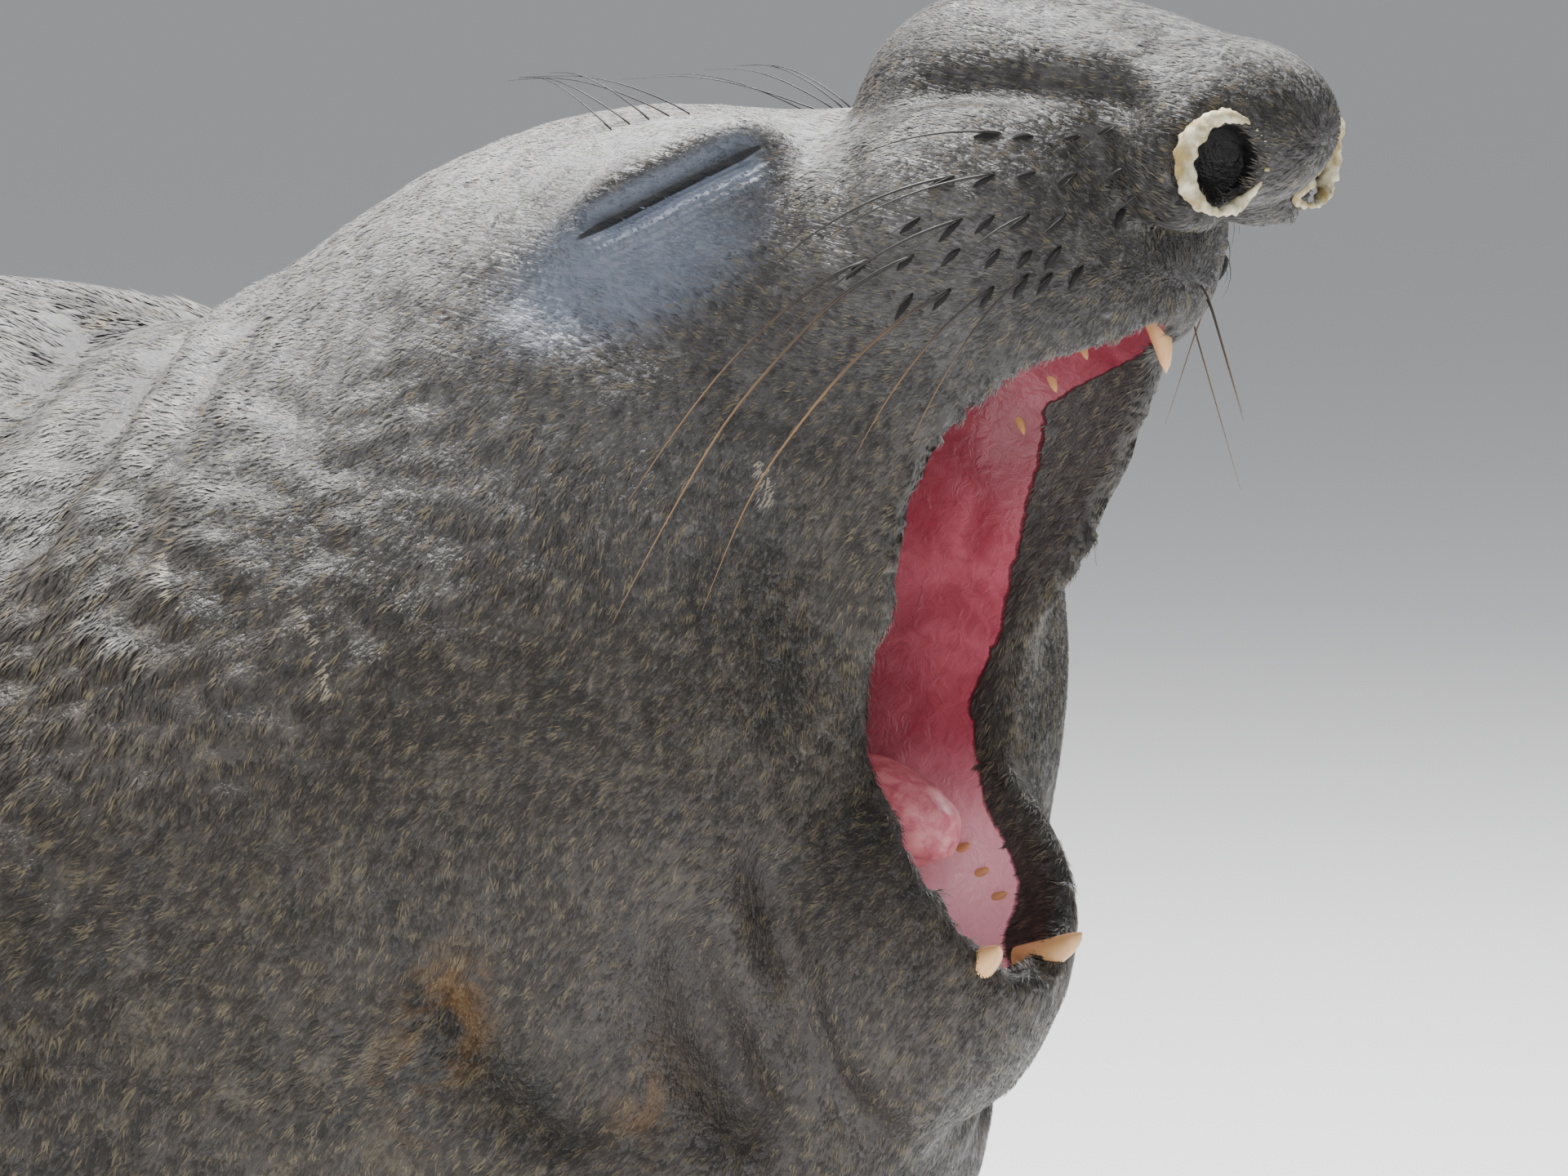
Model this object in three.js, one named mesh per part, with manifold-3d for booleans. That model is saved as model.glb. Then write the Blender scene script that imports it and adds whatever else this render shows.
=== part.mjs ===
// A life-size southern elephant seal bull, lying on its belly with its head up and its mouth wide open.
// Millimetres, +Z up, nose towards +X, origin on the floor under the middle of its length.
import * as THREE from "three";
import { mergeVertices } from "three/addons/utils/BufferGeometryUtils.js";
import Module from "manifold-3d";

const wasm = await Module();
wasm.setup();

// Driving dimensions
const HEAD_X = 1676; // the gape's centre, ahead of the middle of the body
const HEAD_Z = 700; // the gape's centre, above the floor
const GAP = 0.3; // between parts that touch
const CLEAR = 3; // least height of a whisker over the skin

const SKIN = new THREE.MeshStandardMaterial({ color: 0x6b655f, roughness: 0.6, metalness: 0 });
const MUCOSA = new THREE.MeshStandardMaterial({ color: 0xc9506a, roughness: 0.35, metalness: 0 });

// Heights and widths of the trunk: place along the body from the gape's centre, height of the back, half width
const TRUNK = [
  [-3330, 120, 62],
  [-3200, 190, 95],
  [-3000, 280, 150],
  [-2700, 400, 240],
  [-2300, 530, 335],
  [-1800, 650, 415],
  [-1300, 740, 462],
  [-900, 795, 462],
  [-600, 812, 425],
  [-420, 800, 385],
];
const TRUNK_MIDDLE = 0.44; // height of the widest level, as a share of the back's height
const TRUNK_BELLY = 0.5; // depth below that level, which the floor flattens
const TRUNK_FRONT = 160; // rounding of the trunk's front end

// Masses of flesh, mirrored across the middle: centre from the gape's centre, radii, turn of the axes in degrees
// (pitch lifts the front, yaw turns it outwards, roll leans the top outwards), and the width of the blend
const FLESH = {
  shoulders: { at: [-400, 0, -240], r: [330, 345, 335], turn: [20, 0, 0], blend: 150 },
  neck: { at: [-200, 0, -110], r: [275, 255, 225], turn: [50, 0, 0], blend: 110 },
  cranium: { at: [-90, 0, 72], r: [185, 150, 134], turn: [18, 0, 0], blend: 70 },
  brow: { at: [-5, 62, 150], r: [85, 48, 56], turn: [14, -8, 0], blend: 45 },
  cheek: { at: [-15, 62, -40], r: [100, 100, 170], turn: [0, 0, 0], blend: 60 },
  jaw: { at: [56, 0, -146], r: [81, 90, 87], turn: [0, 0, 0], blend: 30 },
  throat: { at: [-50, 0, -222], r: [125, 155, 75], turn: [-35, 0, 0], blend: 90 },
  muzzle: { at: [80, 0, 135], r: [115, 78, 75], turn: [40, 0, 0], blend: 40 },
  upper_lip: { at: [84, 48, 60], r: [60, 44, 98], turn: [-38, 0, 0], blend: 42 },
  lip_front: { at: [160, 0, 146], r: [52, 60, 46], turn: [0, 0, 0], blend: 24 },
  whisker_pad: { at: [128, 46, 155], r: [84, 44, 58], turn: [26, -14, 0], blend: 34 },
  nose_hump: { at: [112, 0, 212], r: [62, 48, 52], turn: [15, 0, 0], blend: 18 },
  nose_bridge: { at: [190, 0, 222], r: [86, 44, 36], turn: [-14, 0, 0], blend: 26 },
  nose_tip: { at: [244, 0, 210], r: [42, 40, 34], turn: [0, 0, 0], blend: 20 },
  nostril_wing: { at: [234, 28, 197], r: [36, 25, 32], turn: [0, 20, 0], blend: 14 },
};
const HOLLOWS = {
  mouth: { at: [117, 0, 5], r: [112, 52, 150], turn: [-17, 0, 0], blend: 9 },
  palate: { at: [148, 0, 40], r: [90, 74, 84], turn: [-35, 0, 0], blend: 9 },
  jaw_trough: { at: [104, 0, -107], r: [52, 46, 58], turn: [0, 0, 0], blend: 12 },
  nostril: { at: [266, 40, 194], r: [38, 15, 17], turn: [0, 40, 0], blend: 6 },
};
const TONGUE = { at: [44, 0, -94], r: [54, 25, 24], turn: [-12, 0, 0] };

// Planes that part the body into its named lengths: a point on each and the way it faces
const CUTS = {
  hips: { at: [-2450, 0, 0], facing: [1, 0, 0] },
  belly: { at: [-1350, 0, 0], facing: [1, 0, 0] },
  shoulder: { at: [-430, 0, -100], facing: [0.85, 0, 0.53] },
  nape: { at: [-230, 0, 150], facing: [0.817, 0, 0.578] },
  jaw: { at: [107, 0, -22], facing: [0.447, 0, -0.894] },
  muzzle: { at: [30, 0, 225], facing: [0.93, 0, 0.37] },
  nose: { at: [140, 0, 207], facing: [0.46, 0, 0.888] },
};

const v3 = (p) => new THREE.Vector3(...p);
const radians = THREE.MathUtils.degToRad;

// The three axes of a turned mass, as unit vectors
function axesOf([pitch, yaw, roll]) {
  const turned = new THREE.Euler(-radians(roll), -radians(pitch), radians(yaw), "ZYX");
  const m = new THREE.Matrix4().makeRotationFromEuler(turned);
  const axes = [new THREE.Vector3(), new THREE.Vector3(), new THREE.Vector3()];
  m.extractBasis(...axes);
  return axes;
}

const prepared = (masses) =>
  Object.values(masses).map((m) => ({ ...m, centre: v3(m.at), axes: axesOf(m.turn) }));
const flesh = prepared(FLESH);
const hollows = prepared(HOLLOWS);

// Distance from a point to a turned ellipsoid, close enough near its surface
const offset = new THREE.Vector3();
function toEllipsoid(p, { centre, r, axes }) {
  offset.subVectors(p, centre);
  let near = 0;
  let steep = 0;
  for (let i = 0; i < 3; i++) {
    const share = offset.dot(axes[i]) / r[i];
    near += share * share;
    steep += (share / r[i]) ** 2;
  }
  const k = Math.sqrt(near);
  return (k * (k - 1)) / Math.max(Math.sqrt(steep), 1e-9);
}

const blendMin = (a, b, k) => {
  const h = Math.max(k - Math.abs(a - b), 0) / k;
  return Math.min(a, b) - (h * h * h * k) / 6;
};
const blendMax = (a, b, k) => -blendMin(-a, -b, k);

// Smooth curve through the trunk's stations, column 1 for the back's height and 2 for the half width
function station(x, column) {
  const last = TRUNK.length - 1;
  let i = 0;
  while (i < last - 1 && x > TRUNK[i + 1][0]) i++;
  const slope = (j) => {
    const a = Math.max(j - 1, 0);
    const b = Math.min(j + 1, last);
    return (TRUNK[b][column] - TRUNK[a][column]) / (TRUNK[b][0] - TRUNK[a][0]);
  };
  const h = TRUNK[i + 1][0] - TRUNK[i][0];
  const t = (x - TRUNK[i][0]) / h;
  const near = (2 * t - 3) * t * t + 1;
  return (
    near * TRUNK[i][column] +
    t * (1 - t) ** 2 * h * slope(i) +
    (1 - near) * TRUNK[i + 1][column] +
    (t - 1) * t * t * h * slope(i + 1)
  );
}

function trunk(p) {
  const tail = TRUNK[0][0];
  const front = TRUNK[TRUNK.length - 1][0];
  const x = Math.min(Math.max(p.x, tail), front);
  const top = station(x, 1);
  const width = station(x, 2);
  const middle = top * TRUNK_MIDDLE - HEAD_Z;
  const height = p.z > middle ? top * (1 - TRUNK_MIDDLE) : top * TRUNK_BELLY;
  const around = Math.hypot(p.y / width, (p.z - middle) / height);
  const side = (around - 1) * Math.min(width, height);
  return blendMax(side, Math.max(p.x - front, tail - p.x), TRUNK_FRONT);
}

// The body's surface is where this is zero, and inside it is below zero
const mirrored = new THREE.Vector3();
function body(x, y, z) {
  mirrored.set(x, Math.abs(y), z);
  let f = trunk(mirrored);
  for (const mass of flesh) f = blendMin(f, toEllipsoid(mirrored, mass), mass.blend);
  for (const hole of hollows) f = blendMax(f, -toEllipsoid(mirrored, hole), hole.blend);
  return f;
}

const bodyAt = (p) => body(p.x, p.y, p.z);
const SLOPE_STEP = 1;
function outwards(p) {
  const f = (dx, dy, dz) => body(p.x + dx, p.y + dy, p.z + dz);
  const s = SLOPE_STEP;
  return new THREE.Vector3(
    f(s, 0, 0) - f(-s, 0, 0),
    f(0, s, 0) - f(0, -s, 0),
    f(0, 0, s) - f(0, 0, -s),
  ).normalize();
}

// Even levels from one place to past another
function levels(from, to, cell) {
  const made = [];
  for (let at = from - 1.5 * cell; at < to + 2 * cell; at += cell) made.push(at);
  return made;
}

// Fills the grid points where two sheets of surface would touch along an edge
const BARELY_INSIDE = -1e-3;
function fillPinches(value, index, [nx, ny, nz]) {
  const steps = [
    [1, 0, 0],
    [0, 1, 0],
    [0, 0, 1],
  ];
  const pairs = [
    [0, 1],
    [0, 2],
    [1, 2],
  ];
  for (let filled = 1; filled; ) {
    filled = 0;
    for (let i = 0; i < nx - 1; i++)
      for (let j = 0; j < ny - 1; j++)
        for (let k = 0; k < nz - 1; k++)
          for (const [u, v] of pairs) {
            const at = (a, b) =>
              index(
                i + a * steps[u][0] + b * steps[v][0],
                j + a * steps[u][1] + b * steps[v][1],
                k + a * steps[u][2] + b * steps[v][2],
              );
            const [p, q, r, s] = [at(0, 0), at(1, 0), at(1, 1), at(0, 1)];
            const [ip, iq, ir, is] = [p, q, r, s].map((n) => value[n] < 0);
            if (ip !== ir || iq !== is || ip === iq) continue;
            value[ip ? q : p] = BARELY_INSIDE;
            filled++;
          }
  }
}

// The surface where f is zero, with one point in each grid cell that it crosses
function surfaceOf(f, xs, ys, zs) {
  const [nx, ny, nz] = [xs.length, ys.length, zs.length];
  const index = (i, j, k) => (i * ny + j) * nz + k;
  const value = new Float64Array(nx * ny * nz);
  for (let i = 0; i < nx; i++)
    for (let j = 0; j < ny; j++)
      for (let k = 0; k < nz; k++) value[index(i, j, k)] = f(xs[i], ys[j], zs[k]);
  fillPinches(value, index, [nx, ny, nz]);
  const points = [];
  const pointOf = new Map();
  const place = (i, j, k) => [xs[i], ys[j], zs[k]];
  const corners = [0, 1, 2, 3, 4, 5, 6, 7].map((c) => [c & 1, (c >> 1) & 1, (c >> 2) & 1]);
  const edges = [];
  for (let c = 0; c < 8; c++)
    for (const bit of [1, 2, 4]) if (!(c & bit)) edges.push([c, c | bit]);
  for (let i = 0; i < nx - 1; i++)
    for (let j = 0; j < ny - 1; j++)
      for (let k = 0; k < nz - 1; k++) {
        const sum = [0, 0, 0];
        let count = 0;
        for (const [a, b] of edges) {
          const [ca, cb] = [corners[a], corners[b]];
          const va = value[index(i + ca[0], j + ca[1], k + ca[2])];
          const vb = value[index(i + cb[0], j + cb[1], k + cb[2])];
          if (va < 0 === vb < 0) continue;
          const t = va / (va - vb);
          const pa = place(i + ca[0], j + ca[1], k + ca[2]);
          const pb = place(i + cb[0], j + cb[1], k + cb[2]);
          for (let n = 0; n < 3; n++) sum[n] += pa[n] + t * (pb[n] - pa[n]);
          count++;
        }
        if (!count) continue;
        pointOf.set(index(i, j, k), points.length / 3);
        points.push(...sum.map((s) => s / count));
      }
  const triangles = [];
  const quad = (cells, flip) => {
    const q = cells.map((c) => pointOf.get(index(...c)));
    if (flip) q.reverse();
    triangles.push(q[0], q[1], q[2], q[0], q[2], q[3]);
  };
  for (let i = 1; i < nx - 1; i++)
    for (let j = 1; j < ny - 1; j++)
      for (let k = 1; k < nz - 1; k++) {
        const inside = value[index(i, j, k)] < 0;
        if (inside !== value[index(i + 1, j, k)] < 0)
          quad([[i, j - 1, k - 1], [i, j, k - 1], [i, j, k], [i, j - 1, k]], !inside);
        if (inside !== value[index(i, j + 1, k)] < 0)
          quad([[i - 1, j, k - 1], [i - 1, j, k], [i, j, k], [i, j, k - 1]], !inside);
        if (inside !== value[index(i, j, k + 1)] < 0)
          quad([[i - 1, j - 1, k], [i, j - 1, k], [i, j, k], [i - 1, j, k]], !inside);
      }
  const geometry = new THREE.BufferGeometry();
  geometry.setAttribute("position", new THREE.Float32BufferAttribute(points, 3));
  geometry.setIndex(triangles);
  return geometry;
}

// A closed geometry as a solid that can be cut and joined
function solid(geometry) {
  const bare = new THREE.BufferGeometry();
  bare.setAttribute("position", geometry.getAttribute("position"));
  if (geometry.index) bare.setIndex(geometry.index);
  const merged = mergeVertices(bare, 1e-3);
  const mesh = new wasm.Mesh({
    numProp: 3,
    vertProperties: merged.attributes.position.array,
    triVerts: new Uint32Array(merged.index.array),
  });
  return new wasm.Manifold(mesh);
}

const largest = (s) => s.decompose().sort((a, b) => b.volume() - a.volume())[0];
const joined = (pieces) => largest(pieces.reduce((a, b) => a.add(b)));

// A block that fills everything on the facing side of a plane, short of it by half the gap
const BLOCK = 8000;
function ahead({ at, facing }) {
  const way = v3(facing).normalize();
  const turn = new THREE.Quaternion().setFromUnitVectors(new THREE.Vector3(1, 0, 0), way);
  const centre = v3(at).addScaledVector(way, BLOCK / 2 + GAP / 2);
  const box = new THREE.BoxGeometry(BLOCK, BLOCK, BLOCK);
  box.applyMatrix4(new THREE.Matrix4().compose(centre, turn, new THREE.Vector3(1, 1, 1)));
  return solid(box);
}
const behind = ({ at, facing }) => ahead({ at, facing: facing.map((n) => -n) });

// A tube of few sides along a curve, as thick at each place as radius(t) says, with closed ends
function taperedTube(curve, radius, steps, sides, flatten = 1) {
  const frames = curve.computeFrenetFrames(steps);
  const rings = [];
  for (let i = 0; i <= steps; i++) {
    const t = i / steps;
    const centre = curve.getPoint(t);
    const ring = [];
    for (let j = 0; j < sides; j++) {
      const a = (2 * Math.PI * j) / sides;
      const r = radius(t);
      ring.push(
        centre
          .clone()
          .addScaledVector(frames.normals[i], r * Math.cos(a))
          .addScaledVector(frames.binormals[i], r * flatten * Math.sin(a)),
      );
    }
    rings.push(ring);
  }
  return lofted(rings);
}

// A closed skin over rings with the same number of points
function lofted(rings) {
  const sides = rings[0].length;
  const points = rings.flat();
  const middle = (ring) =>
    ring.reduce((sum, p) => sum.add(p), new THREE.Vector3()).divideScalar(ring.length);
  const first = points.push(middle(rings[0])) - 1;
  const last = points.push(middle(rings[rings.length - 1])) - 1;
  const triangles = [];
  for (let i = 0; i < rings.length - 1; i++)
    for (let j = 0; j < sides; j++) {
      const k = (j + 1) % sides;
      const [a, b, c, d] = [i * sides + j, i * sides + k, (i + 1) * sides + k, (i + 1) * sides + j];
      triangles.push(a, b, c, a, c, d);
    }
  const end = (rings.length - 1) * sides;
  for (let j = 0; j < sides; j++) {
    const k = (j + 1) % sides;
    triangles.push(first, k, j, last, end + j, end + k);
  }
  const geometry = new THREE.BufferGeometry().setFromPoints(points);
  geometry.setIndex(triangles);
  const made = solid(geometry);
  if (made.volume() > 0) return made;
  for (let i = 0; i < triangles.length; i += 3)
    [triangles[i], triangles[i + 1]] = [triangles[i + 1], triangles[i]];
  geometry.setIndex(triangles);
  return solid(geometry);
}

// A point on the body's skin, found from one near it
function onSkin(p) {
  const found = p.clone();
  for (let i = 0; i < 12; i++) found.addScaledVector(outwards(found), -bodyAt(found));
  return found;
}

// A whisker that leaves the skin at a root and lies back over it, never nearer than a set height
const WHISKER_STEPS = 6;
const WHISKER_SUNK = 7;
function whisker(root, way, length, thickness, stand) {
  const start = onSkin(root);
  const out = outwards(start);
  const points = [start.clone().addScaledVector(out, -WHISKER_SUNK)];
  let at = start.clone();
  points.push(at.clone().addScaledVector(out, GAP));
  for (let i = 1; i <= WHISKER_STEPS; i++) {
    const share = i / WHISKER_STEPS;
    at.addScaledVector(way, length / WHISKER_STEPS);
    const height = CLEAR + stand * Math.sin(Math.PI * 0.6 * share);
    for (let n = 0; n < 4; n++) at.addScaledVector(outwards(at), height - bodyAt(at));
    points.push(at.clone());
  }
  const curve = new THREE.CatmullRomCurve3(points);
  const radius = (t) => (thickness / 2) * (1 - 0.8 * t);
  return taperedTube(curve, radius, WHISKER_STEPS + 2, 3);
}

// A tooth or claw: a curved cone from a root to a tip, bowed by a share of its length
function horn(root, tip, thickness, bow, bowWay) {
  const middle = root.clone().lerp(tip, 0.55);
  middle.addScaledVector(bowWay, bow * root.distanceTo(tip));
  const curve = new THREE.QuadraticBezierCurve3(root, middle, tip);
  const radius = (t) => (thickness / 2) * Math.max(1 - t * t * 0.9, 0.12);
  return taperedTube(curve, radius, 4, 6);
}

const UP = new THREE.Vector3(0, 0, 1);
const FORWARD = new THREE.Vector3(1, 0, 0);

// Teeth of one jaw: canines and a row of small pegs behind them on each side
function teeth({ canine, pegs }) {
  const made = [];
  for (const side of [-1, 1]) {
    const place = ([x, y, z]) => new THREE.Vector3(x, side * y, z);
    const root = place(canine.root);
    const worn = side < 0 ? canine.wornRight : 0;
    const tip = place(canine.tip).lerp(root, worn);
    made.push(horn(root, tip, canine.thickness, canine.bow, FORWARD));
    for (let i = 0; i < pegs.count; i++) {
      const t = i / (pegs.count - 1);
      const base = place(pegs.front).lerp(place(pegs.back), t);
      const top = base.clone().add(place(pegs.rise));
      made.push(horn(base, top, pegs.thickness, 0, UP));
    }
  }
  return made;
}

const UPPER_TEETH = {
  canine: { root: [176, 22, 142], tip: [189, 24, 101], thickness: 14, bow: 0.16, wornRight: 0.6 },
  pegs: { count: 4, front: [150, 34, 118], back: [95, 46, 72], rise: [6, -2, -10], thickness: 7 },
};
const LOWER_TEETH = {
  canine: { root: [100, 22, -160], tip: [139, 30, -147], thickness: 15, bow: 0.12, wornRight: 0 },
  pegs: { count: 4, front: [88, 44, -136], back: [56, 44, -104], rise: [8, -2, 4], thickness: 6 },
};

// Whiskers of each side's pad: rows of roots, with the lower and hinder ones longest
const PAD_ROWS = 3;
const PAD_COLUMNS = 3;
function padWhiskers(side) {
  const made = [];
  for (let row = 0; row < PAD_ROWS; row++)
    for (let column = 0; column < PAD_COLUMNS; column++) {
      const back = column / (PAD_COLUMNS - 1);
      const down = row / (PAD_ROWS - 1);
      const root = new THREE.Vector3(168 - 62 * back - 14 * down, side * 92, 172 - 42 * down - 26 * back);
      const way = new THREE.Vector3(-0.55 - 0.2 * back, side * 0.1, -0.75 + 0.2 * down).normalize();
      made.push(whisker(root, way, 70 + 60 * back + 20 * down, 2, 16));
    }
  return made;
}

const BROW_WHISKERS = 3;
function browWhiskers(side) {
  const made = [];
  for (let i = 0; i < BROW_WHISKERS; i++) {
    const root = new THREE.Vector3(-8 - 8 * i, side * (58 + 6 * i), 222);
    const way = new THREE.Vector3(-0.93, side * (0.1 - 0.12 * i), -0.2).normalize();
    made.push(whisker(root, way, 60 + 12 * i, 1.6, 14));
  }
  return made;
}

// A flipper: rings from the root to the tip, ridged over its digits on both faces
function flipper({ rings, digits, ridge, sides }) {
  const made = rings.map(({ centre, across, thick, width, thickness }) => {
    const ring = [];
    for (let j = 0; j < sides; j++) {
      const a = (2 * Math.PI * j) / sides;
      const c = Math.cos(a);
      const s = Math.sin(a);
      const over = (Math.sign(s) * Math.abs(s) ** 0.8 * thickness) / 2;
      const raised = 1 + ridge * Math.cos(Math.PI * digits * (c + 1)) * -Math.abs(s);
      ring.push(
        centre.clone().addScaledVector(across, (c * width) / 2).addScaledVector(thick, over * raised),
      );
    }
    return ring;
  });
  return lofted(made);
}

// Fore flipper: out of the side of the chest, back and down to lie flat on the floor
const FORE = {
  root: [-640, 330, -470],
  wrist: [-720, 505, -612],
  tip: [-905, 690, -692],
  width: [210, 190, 120],
  thickness: [120, 62, 26],
  steps: 7,
  claw: 34,
};
function foreFlipper(side) {
  const place = ([x, y, z]) => new THREE.Vector3(x, side * y, z);
  const curve = new THREE.QuadraticBezierCurve3(place(FORE.root), place(FORE.wrist), place(FORE.tip));
  const between = ([a, b, c], t) => (t < 0.5 ? a + (b - a) * 2 * t : b + (c - b) * (2 * t - 1));
  const rings = [];
  for (let i = 0; i <= FORE.steps; i++) {
    const t = i / FORE.steps;
    const along = curve.getTangent(t);
    const flat = new THREE.Vector3().crossVectors(UP, along).normalize();
    const thick = new THREE.Vector3().crossVectors(along, flat).normalize();
    rings.push({
      centre: curve.getPoint(t),
      across: flat,
      thick,
      width: between(FORE.width, t),
      thickness: between(FORE.thickness, t),
    });
  }
  const paddle = flipper({ rings, digits: 5, ridge: 0.14, sides: 20 });
  const last = rings[FORE.steps];
  const along = curve.getTangent(1);
  const claws = [];
  for (let i = 0; i < 5; i++) {
    const across = (i / 4 - 0.5) * 0.78;
    const root = last.centre
      .clone()
      .addScaledVector(last.across, across * last.width)
      .addScaledVector(along, -22);
    const tip = root.clone().addScaledVector(along, 22 + FORE.claw * (1 - 0.4 * Math.abs(across)));
    claws.push(horn(root, tip, 12, 0.12, UP));
  }
  return joined([paddle, ...claws]);
}

// Hind flipper: a fan of five rays behind the tail, its outer rays longest, leaning on the floor
const HIND = { root: [-3240, 48, -615], length: 430, splay: 16, lean: 58, steps: 7, narrow: 95, wide: 330 };
function hindFlipper(side) {
  const splay = radians(HIND.splay);
  const along = new THREE.Vector3(-Math.cos(splay), side * Math.sin(splay), -0.06).normalize();
  const lean = radians(HIND.lean);
  const level = new THREE.Vector3().crossVectors(UP, along).normalize().multiplyScalar(side);
  const across = level.clone().multiplyScalar(-Math.cos(lean)).addScaledVector(UP, Math.sin(lean));
  const thick = new THREE.Vector3().crossVectors(along, across).normalize();
  const start = new THREE.Vector3(HIND.root[0], side * HIND.root[1], HIND.root[2]);
  const rings = [];
  for (let i = 0; i <= HIND.steps; i++) {
    const t = i / HIND.steps;
    const spread = HIND.narrow + (HIND.wide - HIND.narrow) * t ** 1.3;
    rings.push({
      centre: start.clone().addScaledVector(along, HIND.length * t),
      across,
      thick,
      width: spread,
      thickness: 74 - 60 * t ** 0.7,
    });
  }
  const fan = flipper({ rings, digits: 5, ridge: 0.3, sides: 22 });
  const bite = new THREE.CylinderGeometry(150, 150, 400, 24);
  const turn = new THREE.Quaternion().setFromUnitVectors(UP.clone().set(0, 1, 0), thick);
  const centre = start.clone().addScaledVector(along, HIND.length + 90);
  bite.applyMatrix4(new THREE.Matrix4().compose(centre, turn, new THREE.Vector3(1, 1, 1)));
  return largest(fan.subtract(solid(bite)));
}

// Short tail between the hind flippers
function tail() {
  const root = new THREE.Vector3(-3230, 0, -575);
  const tip = new THREE.Vector3(-3400, 0, -625);
  const curve = new THREE.LineCurve3(root, tip);
  return taperedTube(curve, (t) => 44 - 30 * t * t, 5, 12, 0.55);
}

// Closed eyelids: a low lens on the brow, with the slit between the lids cut into it
const EYE = { at: [17, 97, 178], r: [48, 18, 24], turn: [28, -32, 0], slit: [42, 6, 2] };
function eyelids(side) {
  const [ax, ay, az] = axesOf(EYE.turn);
  const basis = new THREE.Matrix4().makeBasis(ax, ay, az).setPosition(v3(EYE.at));
  const lens = new THREE.SphereGeometry(1, 14, 10).scale(...EYE.r);
  const slit = new THREE.SphereGeometry(1, 10, 6).scale(...EYE.slit).translate(0, EYE.r[1], 0);
  const [lids, cut] = [lens, slit].map((g) => solid(g.applyMatrix4(basis)));
  const made = lids.subtract(cut);
  return side > 0 ? made : made.mirror([0, 1, 0]);
}

// Part of the body's surface, sampled over a block that is a little larger than the node
function sampled(cell, from, to) {
  const outside = (x, y, z) =>
    Math.max(from[0] - x, x - to[0], from[1] - y, y - to[1], from[2] - z, z - to[2]);
  const f = (x, y, z) => Math.max(body(x, y, z), outside(x, y, z));
  const [xs, ys, zs] = [0, 1, 2].map((n) => levels(from[n], to[n], cell));
  return largest(solid(surfaceOf(f, xs, ys, zs)));
}

const SIDE = 560; // half width that holds the whole body
const BELOW = -HEAD_Z - 90; // under the floor
const ABOVE = 330; // over the head
const floor = { at: [0, 0, -HEAD_Z - GAP / 2], facing: [0, 0, 1] };
const aboveFloor = ahead(floor);

// Each node's grid spacing, the block that it is sampled in, and the planes that end it
const LENGTHS = {
  hips: [74, [-3500, -2370], [BELOW, ABOVE], [behind(CUTS.hips)]],
  belly: [88, [-2550, -1250], [BELOW, ABOVE], [ahead(CUTS.hips), behind(CUTS.belly)]],
  chest: [80, [-1450, -50], [BELOW, ABOVE], [ahead(CUTS.belly), behind(CUTS.shoulder)]],
  neck: [52, [-640, 160], [BELOW, ABOVE], [ahead(CUTS.shoulder), behind(CUTS.nape)]],
  head: [27, [-330, 130], [-340, ABOVE], [ahead(CUTS.nape), behind(CUTS.jaw), behind(CUTS.muzzle)]],
  lower_jaw: [18, [-120, 180], [-340, 60], [ahead(CUTS.nape), ahead(CUTS.jaw)]],
  muzzle: [17, [-10, 240], [-80, 290], [ahead(CUTS.muzzle), behind(CUTS.jaw), behind(CUTS.nose)]],
  nose: [13, [30, 320], [130, 310], [ahead(CUTS.muzzle), ahead(CUTS.nose)]],
};
const nodes = {};
const grown = [];
for (const [name, [cell, [back, front], [low, high], sides]] of Object.entries(LENGTHS)) {
  const whole = sampled(cell, [back, -SIDE, low], [front, SIDE, high]);
  nodes[name] = largest([aboveFloor, ...sides].reduce((a, b) => a.intersect(b), whole));
  grown.push(nodes[name]);
}
const whole = grown.reduce((a, b) => a.add(b));

// A cutter a little larger than the body, so that what meets it keeps the gap
const shifts = [
  [0, 0, 0],
  [GAP, 0, 0],
  [-GAP, 0, 0],
  [0, GAP, 0],
  [0, -GAP, 0],
  [0, 0, GAP],
  [0, 0, -GAP],
];
const fatter = (made) => shifts.map((s) => made.translate(s)).reduce((a, b) => a.add(b));
const bodyCutter = fatter(whole);

const tongueGeometry = new THREE.SphereGeometry(1, 14, 10);
tongueGeometry.scale(...TONGUE.r);
const tongueAxes = new THREE.Matrix4().makeBasis(...axesOf(TONGUE.turn)).setPosition(v3(TONGUE.at));
tongueGeometry.applyMatrix4(tongueAxes);
nodes.tongue = largest(solid(tongueGeometry).subtract(bodyCutter));

nodes.lower_jaw = joined([nodes.lower_jaw, ...teeth(LOWER_TEETH)]);
nodes.muzzle = joined([
  nodes.muzzle,
  ...teeth(UPPER_TEETH),
  ...padWhiskers(1),
  ...padWhiskers(-1),
]);
nodes.head = joined([nodes.head, ...browWhiskers(1), ...browWhiskers(-1)]);
nodes.tongue = largest(nodes.tongue.subtract(fatter(nodes.lower_jaw)));

nodes.tail = largest(tail().subtract(bodyCutter));
const tailCutter = fatter(nodes.tail);
for (const [name, side] of [
  ["left", 1],
  ["right", -1],
]) {
  nodes["eyelid_" + name] = largest(eyelids(side).subtract(bodyCutter));
  const clear = (made, cutter) => largest(made.subtract(cutter).intersect(aboveFloor));
  nodes["fore_flipper_" + name] = clear(foreFlipper(side), bodyCutter);
  nodes["hind_flipper_" + name] = clear(hindFlipper(side), bodyCutter.add(tailCutter));
}

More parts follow.
